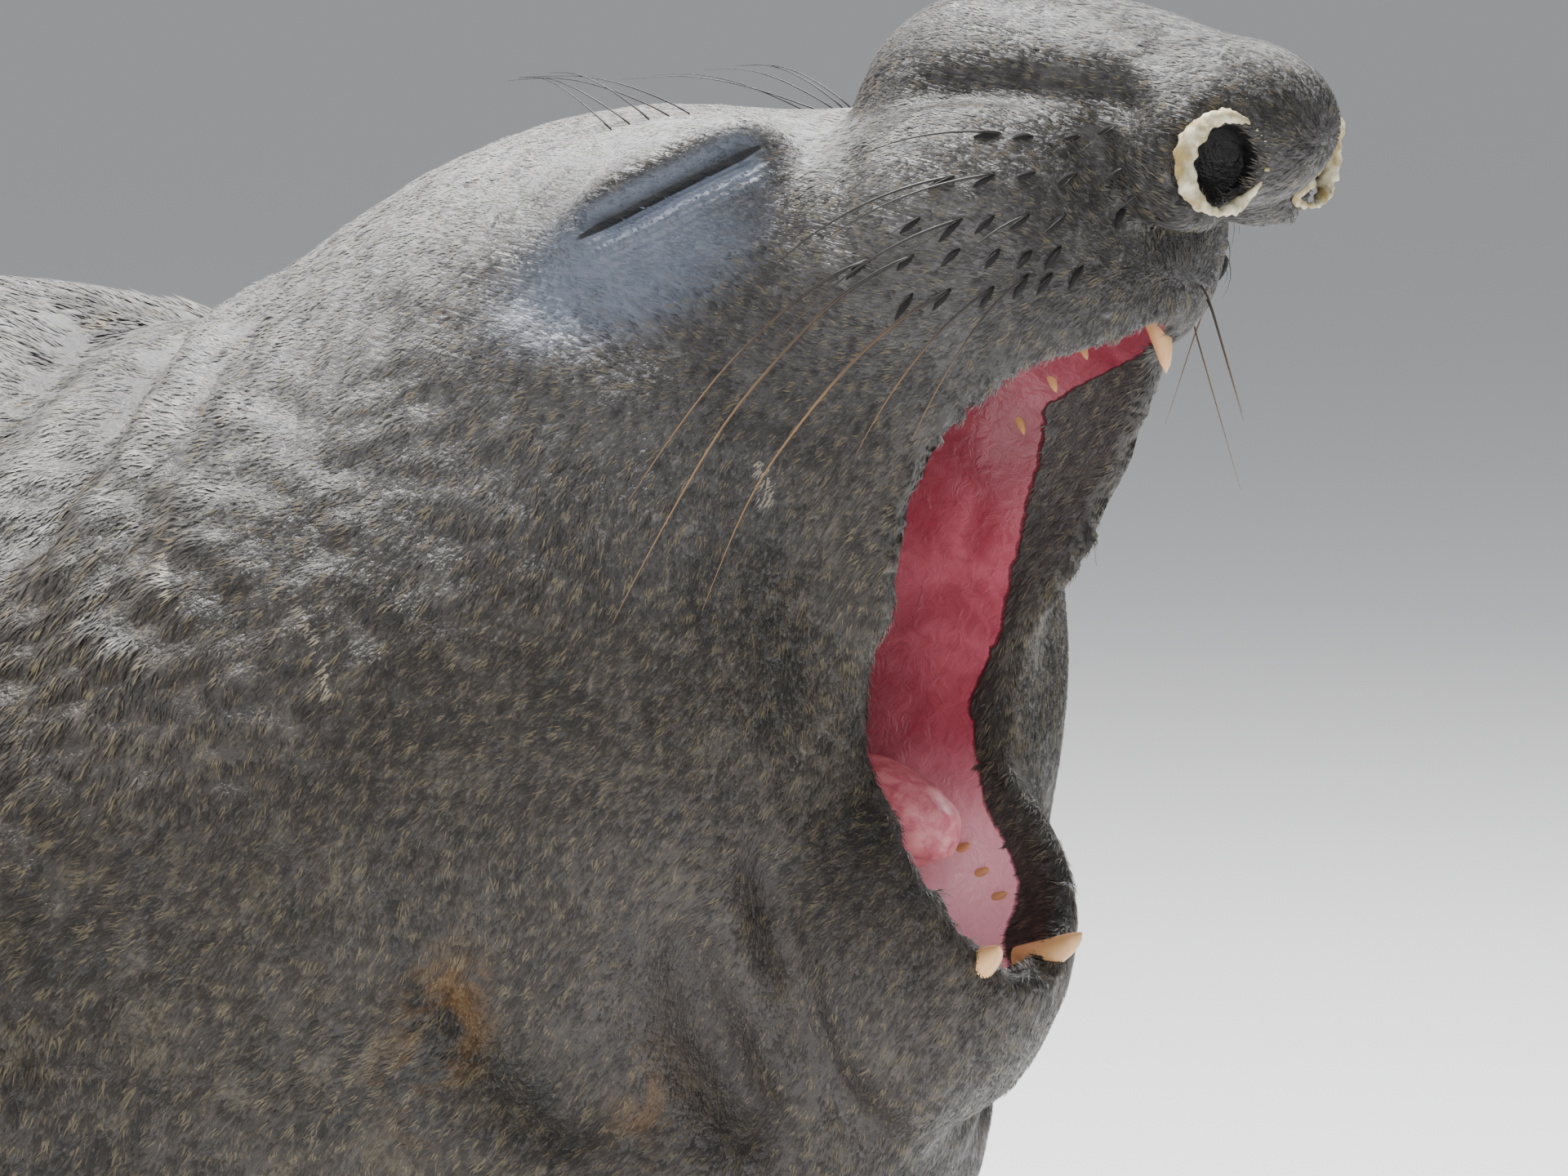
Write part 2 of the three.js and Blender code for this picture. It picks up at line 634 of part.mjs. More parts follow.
function meshOf(name, made, material) {
  const { vertProperties, triVerts, numProp } = made.getMesh();
  const geometry = new THREE.BufferGeometry();
  const points = new Float32Array((vertProperties.length / numProp) * 3);
  for (let i = 0; i < points.length / 3; i++)
    points.set(vertProperties.subarray(i * numProp, i * numProp + 3), i * 3);
  geometry.setAttribute("position", new THREE.BufferAttribute(points, 3));
  geometry.setIndex(new THREE.BufferAttribute(triVerts, 1));
  geometry.computeVertexNormals();
  const mesh = new THREE.Mesh(geometry, material);
  mesh.name = name;
  return mesh;
}

const seal = new THREE.Group();
seal.position.set(HEAD_X, 0, HEAD_Z);
for (const [name, made] of Object.entries(nodes))
  seal.add(meshOf(name, made, name === "tongue" ? MUCOSA : SKIN));

export default seal;
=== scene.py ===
"""Dresses the solids of an elephant seal bull in hide, lining, teeth, whiskers, claws and short coat."""

import math

import bmesh
import bpy
import numpy as np
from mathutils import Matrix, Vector


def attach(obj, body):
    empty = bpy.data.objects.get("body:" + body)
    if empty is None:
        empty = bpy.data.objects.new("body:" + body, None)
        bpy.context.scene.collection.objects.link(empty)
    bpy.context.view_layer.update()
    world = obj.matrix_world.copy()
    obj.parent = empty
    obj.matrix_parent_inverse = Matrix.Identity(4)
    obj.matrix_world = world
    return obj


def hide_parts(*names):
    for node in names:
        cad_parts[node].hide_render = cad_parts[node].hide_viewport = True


bl_info = {
    "name": "Elephant Seal",
    "version": (1, 0, 0),
    "blender": (4, 5, 0),
    "location": "View3D > Sidebar > Elephant Seal",
    "description": "Makes a life-size elephant seal bull over its solids",
    "category": "Add Mesh",
}

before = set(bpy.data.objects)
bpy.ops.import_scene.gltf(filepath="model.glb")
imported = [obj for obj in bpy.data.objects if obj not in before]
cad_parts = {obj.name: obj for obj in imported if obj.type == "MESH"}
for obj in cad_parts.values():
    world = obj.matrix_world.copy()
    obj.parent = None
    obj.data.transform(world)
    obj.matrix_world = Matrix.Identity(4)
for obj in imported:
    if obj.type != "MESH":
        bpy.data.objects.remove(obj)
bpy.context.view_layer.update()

# The form is worked out in millimetres from the gape's centre, as the solids are
MM = 0.001
GAPE = np.array([1.676, 0.0, 0.700])
FLOOR = -700.0

# Place along the body, height of the back, half width
TRUNK = np.array([
    [-3330, 120, 62],
    [-3200, 190, 95],
    [-3000, 280, 150],
    [-2700, 400, 240],
    [-2300, 530, 335],
    [-1800, 650, 415],
    [-1300, 740, 462],
    [-900, 795, 462],
    [-600, 812, 425],
    [-420, 800, 385],
], float)
TRUNK_MIDDLE = 0.44
TRUNK_BELLY = 0.5
TRUNK_FRONT = 160

# Masses of flesh: centre, radii, pitch, yaw and roll in degrees, width of the blend
FLESH = {
    "shoulders": ((-400, 0, -240), (330, 345, 335), (20, 0, 0), 150),
    "neck": ((-200, 0, -110), (275, 255, 225), (50, 0, 0), 110),
    "cranium": ((-90, 0, 72), (185, 150, 134), (18, 0, 0), 70),
    "brow": ((-5, 62, 150), (85, 48, 56), (14, -8, 0), 45),
    "cheek": ((-15, 62, -40), (100, 100, 170), (0, 0, 0), 60),
    "jaw": ((56, 0, -146), (81, 90, 87), (0, 0, 0), 30),
    "throat": ((-50, 0, -222), (125, 155, 75), (-35, 0, 0), 90),
    "muzzle": ((80, 0, 135), (115, 78, 75), (40, 0, 0), 40),
    "upper_lip": ((84, 48, 60), (60, 44, 98), (-38, 0, 0), 42),
    "lip_front": ((160, 0, 146), (52, 60, 46), (0, 0, 0), 24),
    "whisker_pad": ((128, 46, 155), (84, 44, 58), (26, -14, 0), 34),
    "nose_hump": ((112, 0, 212), (62, 48, 52), (15, 0, 0), 18),
    "nose_bridge": ((190, 0, 222), (86, 44, 36), (-14, 0, 0), 26),
    "nose_tip": ((244, 0, 210), (42, 40, 34), (0, 0, 0), 20),
    "nostril_wing": ((234, 28, 197), (36, 25, 32), (0, 20, 0), 14),
    "eyelids": ((17, 97, 178), (50, 14, 24), (28, -32, 0), 26),
}
HOLLOWS = {
    "mouth": ((117, 0, 5), (112, 52, 150), (-17, 0, 0), 13),
    "palate": ((148, 0, 40), (90, 74, 84), (-35, 0, 0), 13),
    "jaw_trough": ((104, 0, -107), (52, 46, 58), (0, 0, 0), 13),
    "nostril": ((266, 40, 194), (38, 15, 17), (0, 40, 0), 6),
}

# Folds across the nape and creases of the skin: points on one side, half width, depth
NECK_FOLDS = (
    ([(-300, -40, 128), (-285, -97, 104), (-253, -164, 70), (-253, -202, 36), (-262, -226, -8)], 20, 11.0),
    ([(-399, 0, 112), (-354, -76, 95), (-331, -123, 80), (-320, -162, 60)], 22, 9.0),
)
CREASES = [
    *NECK_FOLDS,
    ([(-59, -130, 144), (-21, -132, 129), (11, -127, 116), (34, -117, 106)], 13, 3.0),
    ([(-14, -119, 159), (6, -112, 170), (28, -99, 183), (40, -87, 191), (47, -78, 196)], 6, 4.6),
    ([(97, -50, 220), (135, -49, 222), (175, -45, 223), (212, -43, 221), (236, -52, 208)], 8, 4.0),
    ([(98, -69, 202), (96, -83, 185), (108, -93, 158), (128, -92, 141)], 9, 2.2),
    ([(70, -107, -90), (68, -93, -131), (75, -79, -177), (77, -53, -216), (74, 0, -242)], 11, 7.5),
    ([(43, -129, -122), (38, -111, -166), (42, -88, -208), (54, -69, -234)], 14, 8.0),
    ([(-36, -182, -140), (-20, -157, -195), (8, -136, -237)], 18, 9.0),
    ([(105, -92, 54), (90, -90, 18), (84, -86, -25), (82, -80, -71)], 14, 2.5),
    ([(-203, -127, 114), (-201, -168, 80), (-195, -207, 39), (-192, -237, -8)], 18, 4.0),
    ([(-420, -60, 60), (-410, -160, 40), (-400, -240, -20), (-390, -290, -90)], 26, 8.0),
]


def turned(pitch, yaw, roll):
    """The axes of a turned mass as columns."""
    p, w, r = np.radians([pitch, yaw, roll])
    lift = np.array([[np.cos(p), 0, -np.sin(p)], [0, 1, 0], [np.sin(p), 0, np.cos(p)]])
    swing = np.array([[np.cos(w), -np.sin(w), 0], [np.sin(w), np.cos(w), 0], [0, 0, 1]])
    lean = np.array([[1, 0, 0], [0, np.cos(r), np.sin(r)], [0, -np.sin(r), np.cos(r)]])
    return swing @ lift @ lean


def to_ellipsoid(points, mass):
    """Distance from points to a turned ellipsoid, close enough near its surface."""
    centre, radii, turn, _ = mass
    radii = np.array(radii, float)
    local = (points - np.array(centre, float)) @ turned(*turn)
    near = np.linalg.norm(local / radii, axis=1)
    steep = np.linalg.norm(local / radii**2, axis=1)
    return near * (near - 1) / np.maximum(steep, 1e-9)


def blend_min(a, b, width):
    h = np.maximum(width - np.abs(a - b), 0) / width
    return np.minimum(a, b) - h**3 * width / 6


def blend_max(a, b, width):
    return -blend_min(-a, -b, width)


def station(x, column):
    """Smooth curve through one column of the trunk's stations."""
    xs, ys = TRUNK[:, 0], TRUNK[:, column]
    n = len(xs)
    before = np.maximum(np.arange(n) - 1, 0)
    after = np.minimum(np.arange(n) + 1, n - 1)
    slope = (ys[after] - ys[before]) / (xs[after] - xs[before])
    i = np.clip(np.searchsorted(xs, x) - 1, 0, n - 2)
    h = xs[i + 1] - xs[i]
    t = (x - xs[i]) / h
    near = (2 * t - 3) * t * t + 1
    bend = t * (1 - t) ** 2 * h * slope[i] + (t - 1) * t * t * h * slope[i + 1]
    return near * ys[i] + (1 - near) * ys[i + 1] + bend


def trunk(p):
    x = np.clip(p[:, 0], TRUNK[0, 0], TRUNK[-1, 0])
    top, width = station(x, 1), station(x, 2)
    middle = FLOOR + top * TRUNK_MIDDLE
    height = np.where(p[:, 2] > middle, top * (1 - TRUNK_MIDDLE), top * TRUNK_BELLY)
    around = np.hypot(p[:, 1] / width, (p[:, 2] - middle) / height)
    side = (around - 1) * np.minimum(width, height)
    ends = np.maximum(p[:, 0] - TRUNK[-1, 0], TRUNK[0, 0] - p[:, 0])
    return blend_max(side, ends, TRUNK_FRONT)


def mirrored(points):
    """Points moved to the side where y is above zero, on which the masses are described."""
    return np.column_stack([points[:, 0], np.abs(points[:, 1]), points[:, 2]])


def filled_body(points):
    """Distance to the body with its mouth and nostrils filled in."""
    p = mirrored(points)
    f = trunk(p)
    for mass in FLESH.values():
        f = blend_min(f, to_ellipsoid(p, mass), mass[3])
    return f


def hollow_depth(points, names):
    """Distance to the nearest of the named hollows."""
    p = mirrored(points)
    return np.min([to_ellipsoid(p, HOLLOWS[name]) for name in names], axis=0)


def body(points):
    """Distance to the animal's skin: below zero inside it."""
    p = mirrored(points)
    f = filled_body(points)
    for hole in HOLLOWS.values():
        f = blend_max(f, -to_ellipsoid(p, hole), hole[3])
    return np.maximum(f, FLOOR + 1 - p[:, 2])


def outwards(points, step=1.0):
    """Unit normals of the body's surface."""
    slope = np.zeros_like(points)
    for axis in range(3):
        shift = np.zeros(3)
        shift[axis] = step
        slope[:, axis] = body(points + shift) - body(points - shift)
    return slope / np.maximum(np.linalg.norm(slope, axis=1, keepdims=True), 1e-9)


def onto_skin(points, times=3, longest=15.0):
    for _ in range(times):
        points = points - outwards(points) * np.clip(body(points), -longest, longest)[:, None]
    return points


def smooth_step(x, low, high):
    t = np.clip((x - low) / (high - low), 0, 1)
    return t * t * (3 - 2 * t)


def to_metres(points):
    return np.asarray(points, float) * MM + GAPE


def to_form(points):
    return (np.asarray(points, float) - GAPE) / MM


# Blender helpers

def collection():
    return bpy.context.scene.collection


def new_object(name, mesh):
    made = bpy.data.objects.new(name, mesh)
    collection().objects.link(made)
    return made


def applied(piece):
    """Applies a piece's modifiers."""
    bpy.context.view_layer.update()
    graph = bpy.context.evaluated_depsgraph_get()
    mesh = bpy.data.meshes.new_from_object(piece.evaluated_get(graph))
    piece.modifiers.clear()
    old = piece.data
    piece.data = mesh
    bpy.data.meshes.remove(old)
    mesh.name = piece.name
    return piece


def node_copy(name, nodes):
    """One mesh of copies of the named solids, with their doubles merged."""
    bm = bmesh.new()
    for node in nodes:
        bm.from_mesh(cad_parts[node].data)
    bmesh.ops.remove_doubles(bm, verts=bm.verts, dist=1e-5)
    mesh = bpy.data.meshes.new(name)
    bm.to_mesh(mesh)
    bm.free()
    return new_object(name, mesh)


def remeshed(piece, voxel):
    change = piece.modifiers.new("even", "REMESH")
    change.mode = "VOXEL"
    change.voxel_size = voxel
    return applied(piece)


def points_of(mesh):
    flat = np.empty(len(mesh.vertices) * 3, np.float32)
    mesh.vertices.foreach_get("co", flat)
    return flat.reshape(-1, 3).astype(float)


def set_points(mesh, points):
    mesh.vertices.foreach_set("co", np.asarray(points, np.float32).ravel())
    mesh.update()


def normals_of(mesh):
    flat = np.empty(len(mesh.vertices) * 3, np.float32)
    mesh.vertex_normals.foreach_get("vector", flat)
    return flat.reshape(-1, 3).astype(float)


def edges_of(mesh):
    flat = np.empty(len(mesh.edges) * 2, np.int32)
    mesh.edges.foreach_get("vertices", flat)
    return flat.reshape(-1, 2)


def neighbour_mean(points, edges):
    total = np.zeros_like(points)
    count = np.bincount(edges.ravel(), minlength=len(points)).astype(float)
    for axis in range(points.shape[1]):
        total[:, axis] = np.bincount(edges[:, 0], points[edges[:, 1], axis], len(points))
        total[:, axis] += np.bincount(edges[:, 1], points[edges[:, 0], axis], len(points))
    return total / np.maximum(count, 1)[:, None]


def relaxed(points, edges, times, share=0.5, settle=False):
    """Draws points towards their neighbours' mean, each time after setting them on the skin if asked."""
    for _ in range(times):
        if settle:
            points = onto_skin(points, 1)
        points = (1 - share) * points + share * neighbour_mean(points, edges)
    return points


def keep_largest(mesh):
    """Deletes all but the largest connected part of a mesh."""
    edges = edges_of(mesh)
    label = np.arange(len(mesh.vertices))
    while True:
        low = np.minimum(label[edges[:, 0]], label[edges[:, 1]])
        before = label.copy()
        np.minimum.at(label, edges[:, 0], low)
        np.minimum.at(label, edges[:, 1], low)
        label = label[label]
        if np.array_equal(before, label):
            break
    names, sizes = np.unique(label, return_counts=True)
    if len(names) == 1:
        return
    drop = label != names[np.argmax(sizes)]
    bm = bmesh.new()
    bm.from_mesh(mesh)
    bm.verts.ensure_lookup_table()
    bmesh.ops.delete(bm, geom=[bm.verts[i] for i in np.flatnonzero(drop)], context="VERTS")
    bm.to_mesh(mesh)
    bm.free()


def smooth_shaded(mesh):
    mesh.polygons.foreach_set("use_smooth", np.ones(len(mesh.polygons), bool))
    mesh.update()


def values_of(mesh, name):
    flat = np.empty(len(mesh.vertices), np.float32)
    mesh.attributes[name].data.foreach_get("value", flat)
    return flat.astype(float)


def set_value(mesh, name, values):
    layer = mesh.attributes.new(name, "FLOAT", "POINT")
    layer.data.foreach_set("value", np.asarray(values, np.float32))


def finish_piece(piece, material, nodes=()):
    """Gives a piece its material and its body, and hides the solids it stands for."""
    piece.data.materials.clear()
    piece.data.materials.append(material)
    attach(piece, "root")
    if nodes:
        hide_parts(*nodes)
    return piece


def bristles(name, paths, sides=2):
    """Tapered hairs, horns or ridges along paths of points in form millimetres, with a radius each."""
    curve = bpy.data.curves.new(name, "CURVE")
    curve.dimensions = "3D"
    curve.bevel_depth = 1.0
    curve.bevel_resolution = sides
    curve.use_fill_caps = True
    curve.resolution_u = 3
    for points, radii in paths:
        spline = curve.splines.new("POLY")
        spline.points.add(len(points) - 1)
        for knot, place, radius in zip(spline.points, to_metres(points), radii):
            knot.co = (*place, 1)
            knot.radius = radius * MM
    made = new_object(name, curve)
    bpy.context.view_layer.update()
    graph = bpy.context.evaluated_depsgraph_get()
    mesh = bpy.data.meshes.new_from_object(made.evaluated_get(graph))
    bpy.data.objects.remove(made)
    mesh.name = name
    smooth_shaded(mesh)
    return new_object(name, mesh)


def eased(points, count):
    """A smooth path through a few points."""
    points = np.asarray(points, float)
    ends = np.vstack([2 * points[0] - points[1], points, 2 * points[-1] - points[-2]])
    made = []
    for t in np.linspace(0, len(points) - 1, count):
        i = min(int(t), len(points) - 2)
        u = t - i
        a, b, c, d = ends[i : i + 4]
        bend = 2 * a - 5 * b + 4 * c - d
        twist = 3 * b - a - 3 * c + d
        made.append(0.5 * (2 * b + (c - a) * u + bend * u**2 + twist * u**3))
    return np.array(made)


# Shading

class Shade:
    """A node tree with short calls for its nodes."""

    def __init__(self, tree):
        self.tree = tree

    def node(self, kind, inputs=None, **settings):
        made = self.tree.nodes.new(kind)
        for key, value in settings.items():
            setattr(made, key, value)
        for key, value in (inputs or {}).items():
            self.put(made.inputs[key], value)
        return made

    def place(self):
        return self.node("ShaderNodeTexCoord").outputs["Object"]

    def math(self, operation, a, b=0.0, c=0.0):
        inputs = {0: a, 1: b}
        if operation == "MULTIPLY_ADD":
            inputs[2] = c
        return self.node("ShaderNodeMath", inputs, operation=operation).outputs[0]

    def times(self, a, b):
        return self.math("MULTIPLY", a, b)

    def vector(self, operation, a, b=None, scale=None):
        made = self.node("ShaderNodeVectorMath", {0: a}, operation=operation)
        if b is not None:
            self.put(made.inputs[1], b)
        if scale is not None:
            self.put(made.inputs["Scale"], scale)
        return made.outputs["Value" if operation == "DOT_PRODUCT" else "Vector"]

    def put(self, socket, value):
        if isinstance(value, bpy.types.NodeSocket):
            self.tree.links.new(value, socket)
        else:
            socket.default_value = value

    def noise(self, vector, scale, detail=3.0, rough=0.55, twist=0.0):
        inputs = {"Vector": vector, "Scale": scale, "Detail": detail, "Roughness": rough, "Distortion": twist}
        return self.node("ShaderNodeTexNoise", inputs).outputs["Fac"]

    def span(self, value, low, high, out_low=0.0, out_high=1.0):
        inputs = {"Value": value, "From Min": low, "From Max": high, "To Min": out_low, "To Max": out_high}
        return self.node("ShaderNodeMapRange", inputs, interpolation_type="SMOOTHSTEP").outputs[0]

    def mix(self, share, a, b, blend="MIX"):
        made = self.node("ShaderNodeMix", data_type="RGBA", blend_type=blend)
        self.put(made.inputs[0], share)
        self.put(made.inputs[6], a)
        self.put(made.inputs[7], b)
        return made.outputs[2]

    def value_of(self, name):
        return self.node("ShaderNodeAttribute", attribute_name=name).outputs["Fac"]


def group(name, inputs, outputs):
    """An empty node group with named inputs and outputs."""
    tree = bpy.data.node_groups.new(name, "ShaderNodeTree")
    for label, kind, default in inputs:
        socket = tree.interface.new_socket(label, in_out="INPUT", socket_type=kind)
        if default is not None:
            socket.default_value = default
    for label, kind in outputs:
        tree.interface.new_socket(label, in_out="OUTPUT", socket_type=kind)
    return tree, tree.nodes.new("NodeGroupInput").outputs, tree.nodes.new("NodeGroupOutput").inputs


def streaks_group():
    """Fine streaks that run along one direction."""
    tree, given, out = group(
        "Streaks",
        [
            ("Vector", "NodeSocketVector", None),
            ("Way", "NodeSocketVector", (-1, 0, 0)),
            ("Scale", "NodeSocketFloat", 600.0),
        ],
        [("Value", "NodeSocketFloat")],
    )
    s = Shade(tree)
    along = s.vector("DOT_PRODUCT", given["Vector"], given["Way"])
    shift = s.vector("SCALE", given["Way"], scale=s.times(along, 0.88))
    squeezed = s.vector("SUBTRACT", given["Vector"], shift)
    fine = s.noise(squeezed, given["Scale"], 3.0, 0.6)
    tree.links.new(fine, out["Value"])
    return tree


# Painted shade inside the nostrils' hollows
NOSTRIL_SHADE_COLOUR = (0.008, 0.007, 0.008, 1)
# Painted shade in the closed eye's slit
SLIT_SHADE_COLOUR = (0.006, 0.006, 0.008, 1)
# The way that the coat lies on the back, and low on the neck and chest
BACK_WAY = (-0.985, 0.0, 0.17)
DOWN_WAY = (-0.64, 0.0, -0.768)
COAT_TONES = (
    "coat_dark", "coat_mid", "coat_pale", "coat_brown", "coat_straw", "stain", "lid", "lid_shade", "lip",
)
# Marks on the skin that the coat's colour reads; pale also paints a sheen on the coat's top, and lip paints
# shade inside the mouth's rim and under the chin
COAT_MARKS = ("lie", "pale", "brown", "stain", "lid", "slit", "shade", "lip")


def coat_colour_group():
    """The coat's colour from its place and the marks on the skin."""
    inputs = [("Vector", "NodeSocketVector", None)]
    inputs += [(mark.capitalize(), "NodeSocketFloat", 0.0) for mark in COAT_MARKS]
    inputs += [(tone, "NodeSocketColor", (0.1, 0.1, 0.1, 1)) for tone in COAT_TONES]
    outputs = [("Color", "NodeSocketColor")]
    outputs += [(name, "NodeSocketFloat") for name in ("Hair", "Lock", "Mottle")]
    tree, given, out = group("Coat Colour", inputs, outputs)
    s = Shade(tree)
    place = given["Vector"]
    streaks = streaks_group()

    def streak(scale):
        found = []
        for way in (BACK_WAY, DOWN_WAY):
            made = s.node("ShaderNodeGroup", node_tree=streaks)
            s.put(made.inputs["Vector"], place)
            made.inputs["Way"].default_value = way
            made.inputs["Scale"].default_value = scale
            found.append(made.outputs["Value"])
        share = s.node("ShaderNodeMix", data_type="FLOAT")
        s.put(share.inputs[0], given["Lie"])
        s.put(share.inputs[2], found[0])
        s.put(share.inputs[3], found[1])
        return share.outputs[0]

    hair = streak(620.0)
    lock = streak(210.0)
    patch = s.noise(place, 5.5, 4.0, 0.6, 0.3)
    mottle = s.noise(place, 42.0, 5.0, 0.7, 0.5)
    speck = s.noise(place, 130.0, 3.0, 0.6)
    pale = s.mix(given["Brown"], given["coat_pale"], given["coat_straw"])
    ground = s.mix(s.span(patch, 0.36, 0.64, 0.2, 1.0), given["coat_dark"], given["coat_mid"])
    brown = s.times(given["Brown"], s.span(patch, 0.25, 0.6, 1.0, 0.6))
    ground = s.mix(brown, ground, given["coat_brown"])
    # Painted sheen: the pale tone where the Pale mark is high, beside the pad's and the scars' own paler tone
    ground = s.mix(given["Pale"], ground, pale)
    uneven = s.span(given["Brown"], 0.0, 1.0, 0.3, 1.0)
    ground = s.mix(s.times(s.span(mottle, 0.50, 0.70, 0.0, 0.26), uneven), ground, pale)
    dark = s.times(s.span(mottle, 0.5, 0.32, 0.0, 0.85), uneven)
    ground = s.mix(dark, ground, given["coat_dark"])
    flecks = s.times(s.span(lock, 0.5, 0.7), s.span(speck, 0.5, 0.66))
    ground = s.mix(s.times(flecks, 0.35), ground, pale)
    ground = s.mix(s.span(hair, 0.5, 0.3, 0.0, 0.6), ground, given["coat_dark"])
    ground = s.mix(s.span(hair, 0.55, 0.75, 0.0, 0.3), ground, pale)
    ochre = s.times(given["Stain"], s.span(mottle, 0.40, 0.60))
    ground = s.mix(ochre, ground, given["stain"])
    ground = s.mix(s.times(given["Lid"], 0.8), ground, given["lid"])
    above = s.times(s.span(given["Slit"], 0.0, 1.5), s.span(given["Slit"], 10.0, 1.0))
    ground = s.mix(s.times(above, given["Shade"]), ground, given["lid_shade"])
    # The lips' dark tone: painted shade inside the mouth's rim and under the chin, and the flippers' own dark
    # skin
    ground = s.mix(given["Lip"], ground, given["lip"])
    for value, name in ((ground, "Color"), (hair, "Hair"), (lock, "Lock"), (mottle, "Mottle")):
        tree.links.new(value, out[name])
    return tree


def coat_colour(s, settings):
    """Places the coat's colour in a material, fed by the piece's own marks."""
    tree = bpy.data.node_groups.get("Coat Colour") or coat_colour_group()
    made = s.node("ShaderNodeGroup", node_tree=tree)
    s.put(made.inputs["Vector"], s.place())
    for mark in COAT_MARKS:
        s.put(made.inputs[mark.capitalize()], s.value_of(mark))
    for tone in COAT_TONES:
        made.inputs[tone].default_value = (*getattr(settings, tone), 1)
    return made.outputs


def new_material(name):
    """A material with its shader and the short calls for its nodes."""
    material = bpy.data.materials.new(name)
    material.use_nodes = True
    return material, Shade(material.node_tree), material.node_tree.nodes["Principled BSDF"]


def coat_material(settings):
    """Short wet fur over hide, with the mouth's lining and the lips by their own marks."""
    material, s, shader = new_material("coat")
    place = s.place()
    fur = coat_colour(s, settings)
    ragged = s.noise(place, 90.0, 4.0, 0.6, 0.5)
    edge = s.math("MULTIPLY_ADD", s.math("SUBTRACT", ragged, 0.5), 8.0, s.value_of("border"))
    mouth = s.span(edge, -1.2, 1.2)
    folds = s.noise(place, 26.0, 3.0, 0.5, 0.8)
    veins = s.noise(place, 120.0, 4.0, 0.6, 1.2)
    lining = s.mix(s.span(folds, 0.3, 0.7), (*settings.lining, 1), (*settings.lining_deep, 1))
    lining = s.mix(s.span(veins, 0.5, 0.64, 0.0, 0.4), lining, (*settings.lining_deep, 1))
    # Painted light: the floor of the mouth is painted paler where the light from above falls on it
    lining = s.mix(s.value_of("lit_mouth_floor"), lining, (*settings.lining_pale, 1))
    # Painted shade: the throat's dark tone at the back and the roof of the mouth
    lining = s.mix(s.value_of("deep"), lining, (*settings.throat, 1))
    colour = s.mix(mouth, fur["Color"], lining)
    # Painted shade: the inside of each nostril is painted nearly black
    pit = s.value_of("nostril")
    colour = s.mix(pit, colour, NOSTRIL_SHADE_COLOUR)
    # Painted shade: a nearly black line along the closed eye's slit
    line = s.math("ABSOLUTE", s.value_of("slit"))
    closed = s.span(s.math("SUBTRACT", line, s.times(s.value_of("shade"), 1.5)), 0.9, 0.0)
    closed = s.times(closed, s.span(s.value_of("shade"), 0.05, 0.4))
    colour = s.mix(closed, colour, SLIT_SHADE_COLOUR)
    s.put(shader.inputs["Base Color"], colour)
    rough = s.span(fur["Lock"], 0.3, 0.7, 0.36, 0.62)
    rough = s.math("MULTIPLY_ADD", mouth, -0.2, rough)
    s.put(shader.inputs["Roughness"], rough)
    shader.inputs["Specular IOR Level"].default_value = 0.45
    height = s.math("MULTIPLY_ADD", fur["Hair"], 0.55, fur["Lock"])
    height = s.math("MULTIPLY_ADD", fur["Mottle"], 1.0, height)
    bare = s.math("MAXIMUM", mouth, s.times(s.value_of("lid"), 0.6))
    height = s.times(height, s.math("SUBTRACT", 1.0, bare))
    height = s.math("MULTIPLY_ADD", s.times(veins, mouth), 0.45, height)
    wave = s.math("MULTIPLY_ADD", folds, 5.0, s.times(s.value_of("slit"), 1.5))
    slit = s.value_of("slit")
    below = s.times(s.span(slit, -2.0, -4.0), s.span(slit, -26.0, -8.0))
    lines = s.times(s.math("SINE", wave), s.times(below, s.value_of("shade")))
    height = s.math("MULTIPLY_ADD", lines, 0.16, height)
    bump = s.node("ShaderNodeBump", {"Strength": 0.6, "Distance": 0.0035, "Height": height})
    s.put(shader.inputs["Normal"], bump.outputs[0])
    return material


def hair_material(settings):
    """The tufts of the coat, in the skin's own colours, lighter or darker by tuft, with painted shade at
    their roots and painted light at their tips.
    """
    material, s, shader = new_material("coat_hair")
    fur = coat_colour(s, settings)
    tone = s.value_of("tone")
    # High tone, most at the tips, is painted light; low tone, most at the roots, is painted shade
    colour = s.mix(s.span(tone, 0.55, 1.0, 0.0, 0.5), fur["Color"], (*settings.coat_straw, 1))
    colour = s.mix(s.span(tone, 0.5, 0.0, 0.0, 0.75), colour, (*settings.coat_dark, 1))
    s.put(shader.inputs["Base Color"], colour)
    s.put(shader.inputs["Roughness"], s.span(tone, 0.0, 1.0, 0.55, 0.42))
    shader.inputs["Specular IOR Level"].default_value = 0.3
    return material


def horn_material(name, low, high, scale, rough, along=(0.2, 1.0, 0.2)):
    """Tooth, claw or hair: two tones in stretched noise, with a fine grain."""
    material, s, shader = new_material(name)
    stretched = s.vector("MULTIPLY", s.place(), along)
    tone = s.noise(stretched, scale, 4.0, 0.6, 0.4)
    s.put(shader.inputs["Base Color"], s.mix(s.span(tone, 0.35, 0.65), (*low, 1), (*high, 1)))
    s.put(shader.inputs["Roughness"], s.span(tone, 0.3, 0.7, rough, rough + 0.2))
    bump = s.node("ShaderNodeBump", {"Strength": 0.3, "Distance": 0.001, "Height": tone})
    s.put(shader.inputs["Normal"], bump.outputs[0])
    return material


def colour_prop(name, description, default):
    return bpy.props.FloatVectorProperty(
        name=name, description=description, default=default, min=0, max=1, size=3, subtype="COLOR"
    )


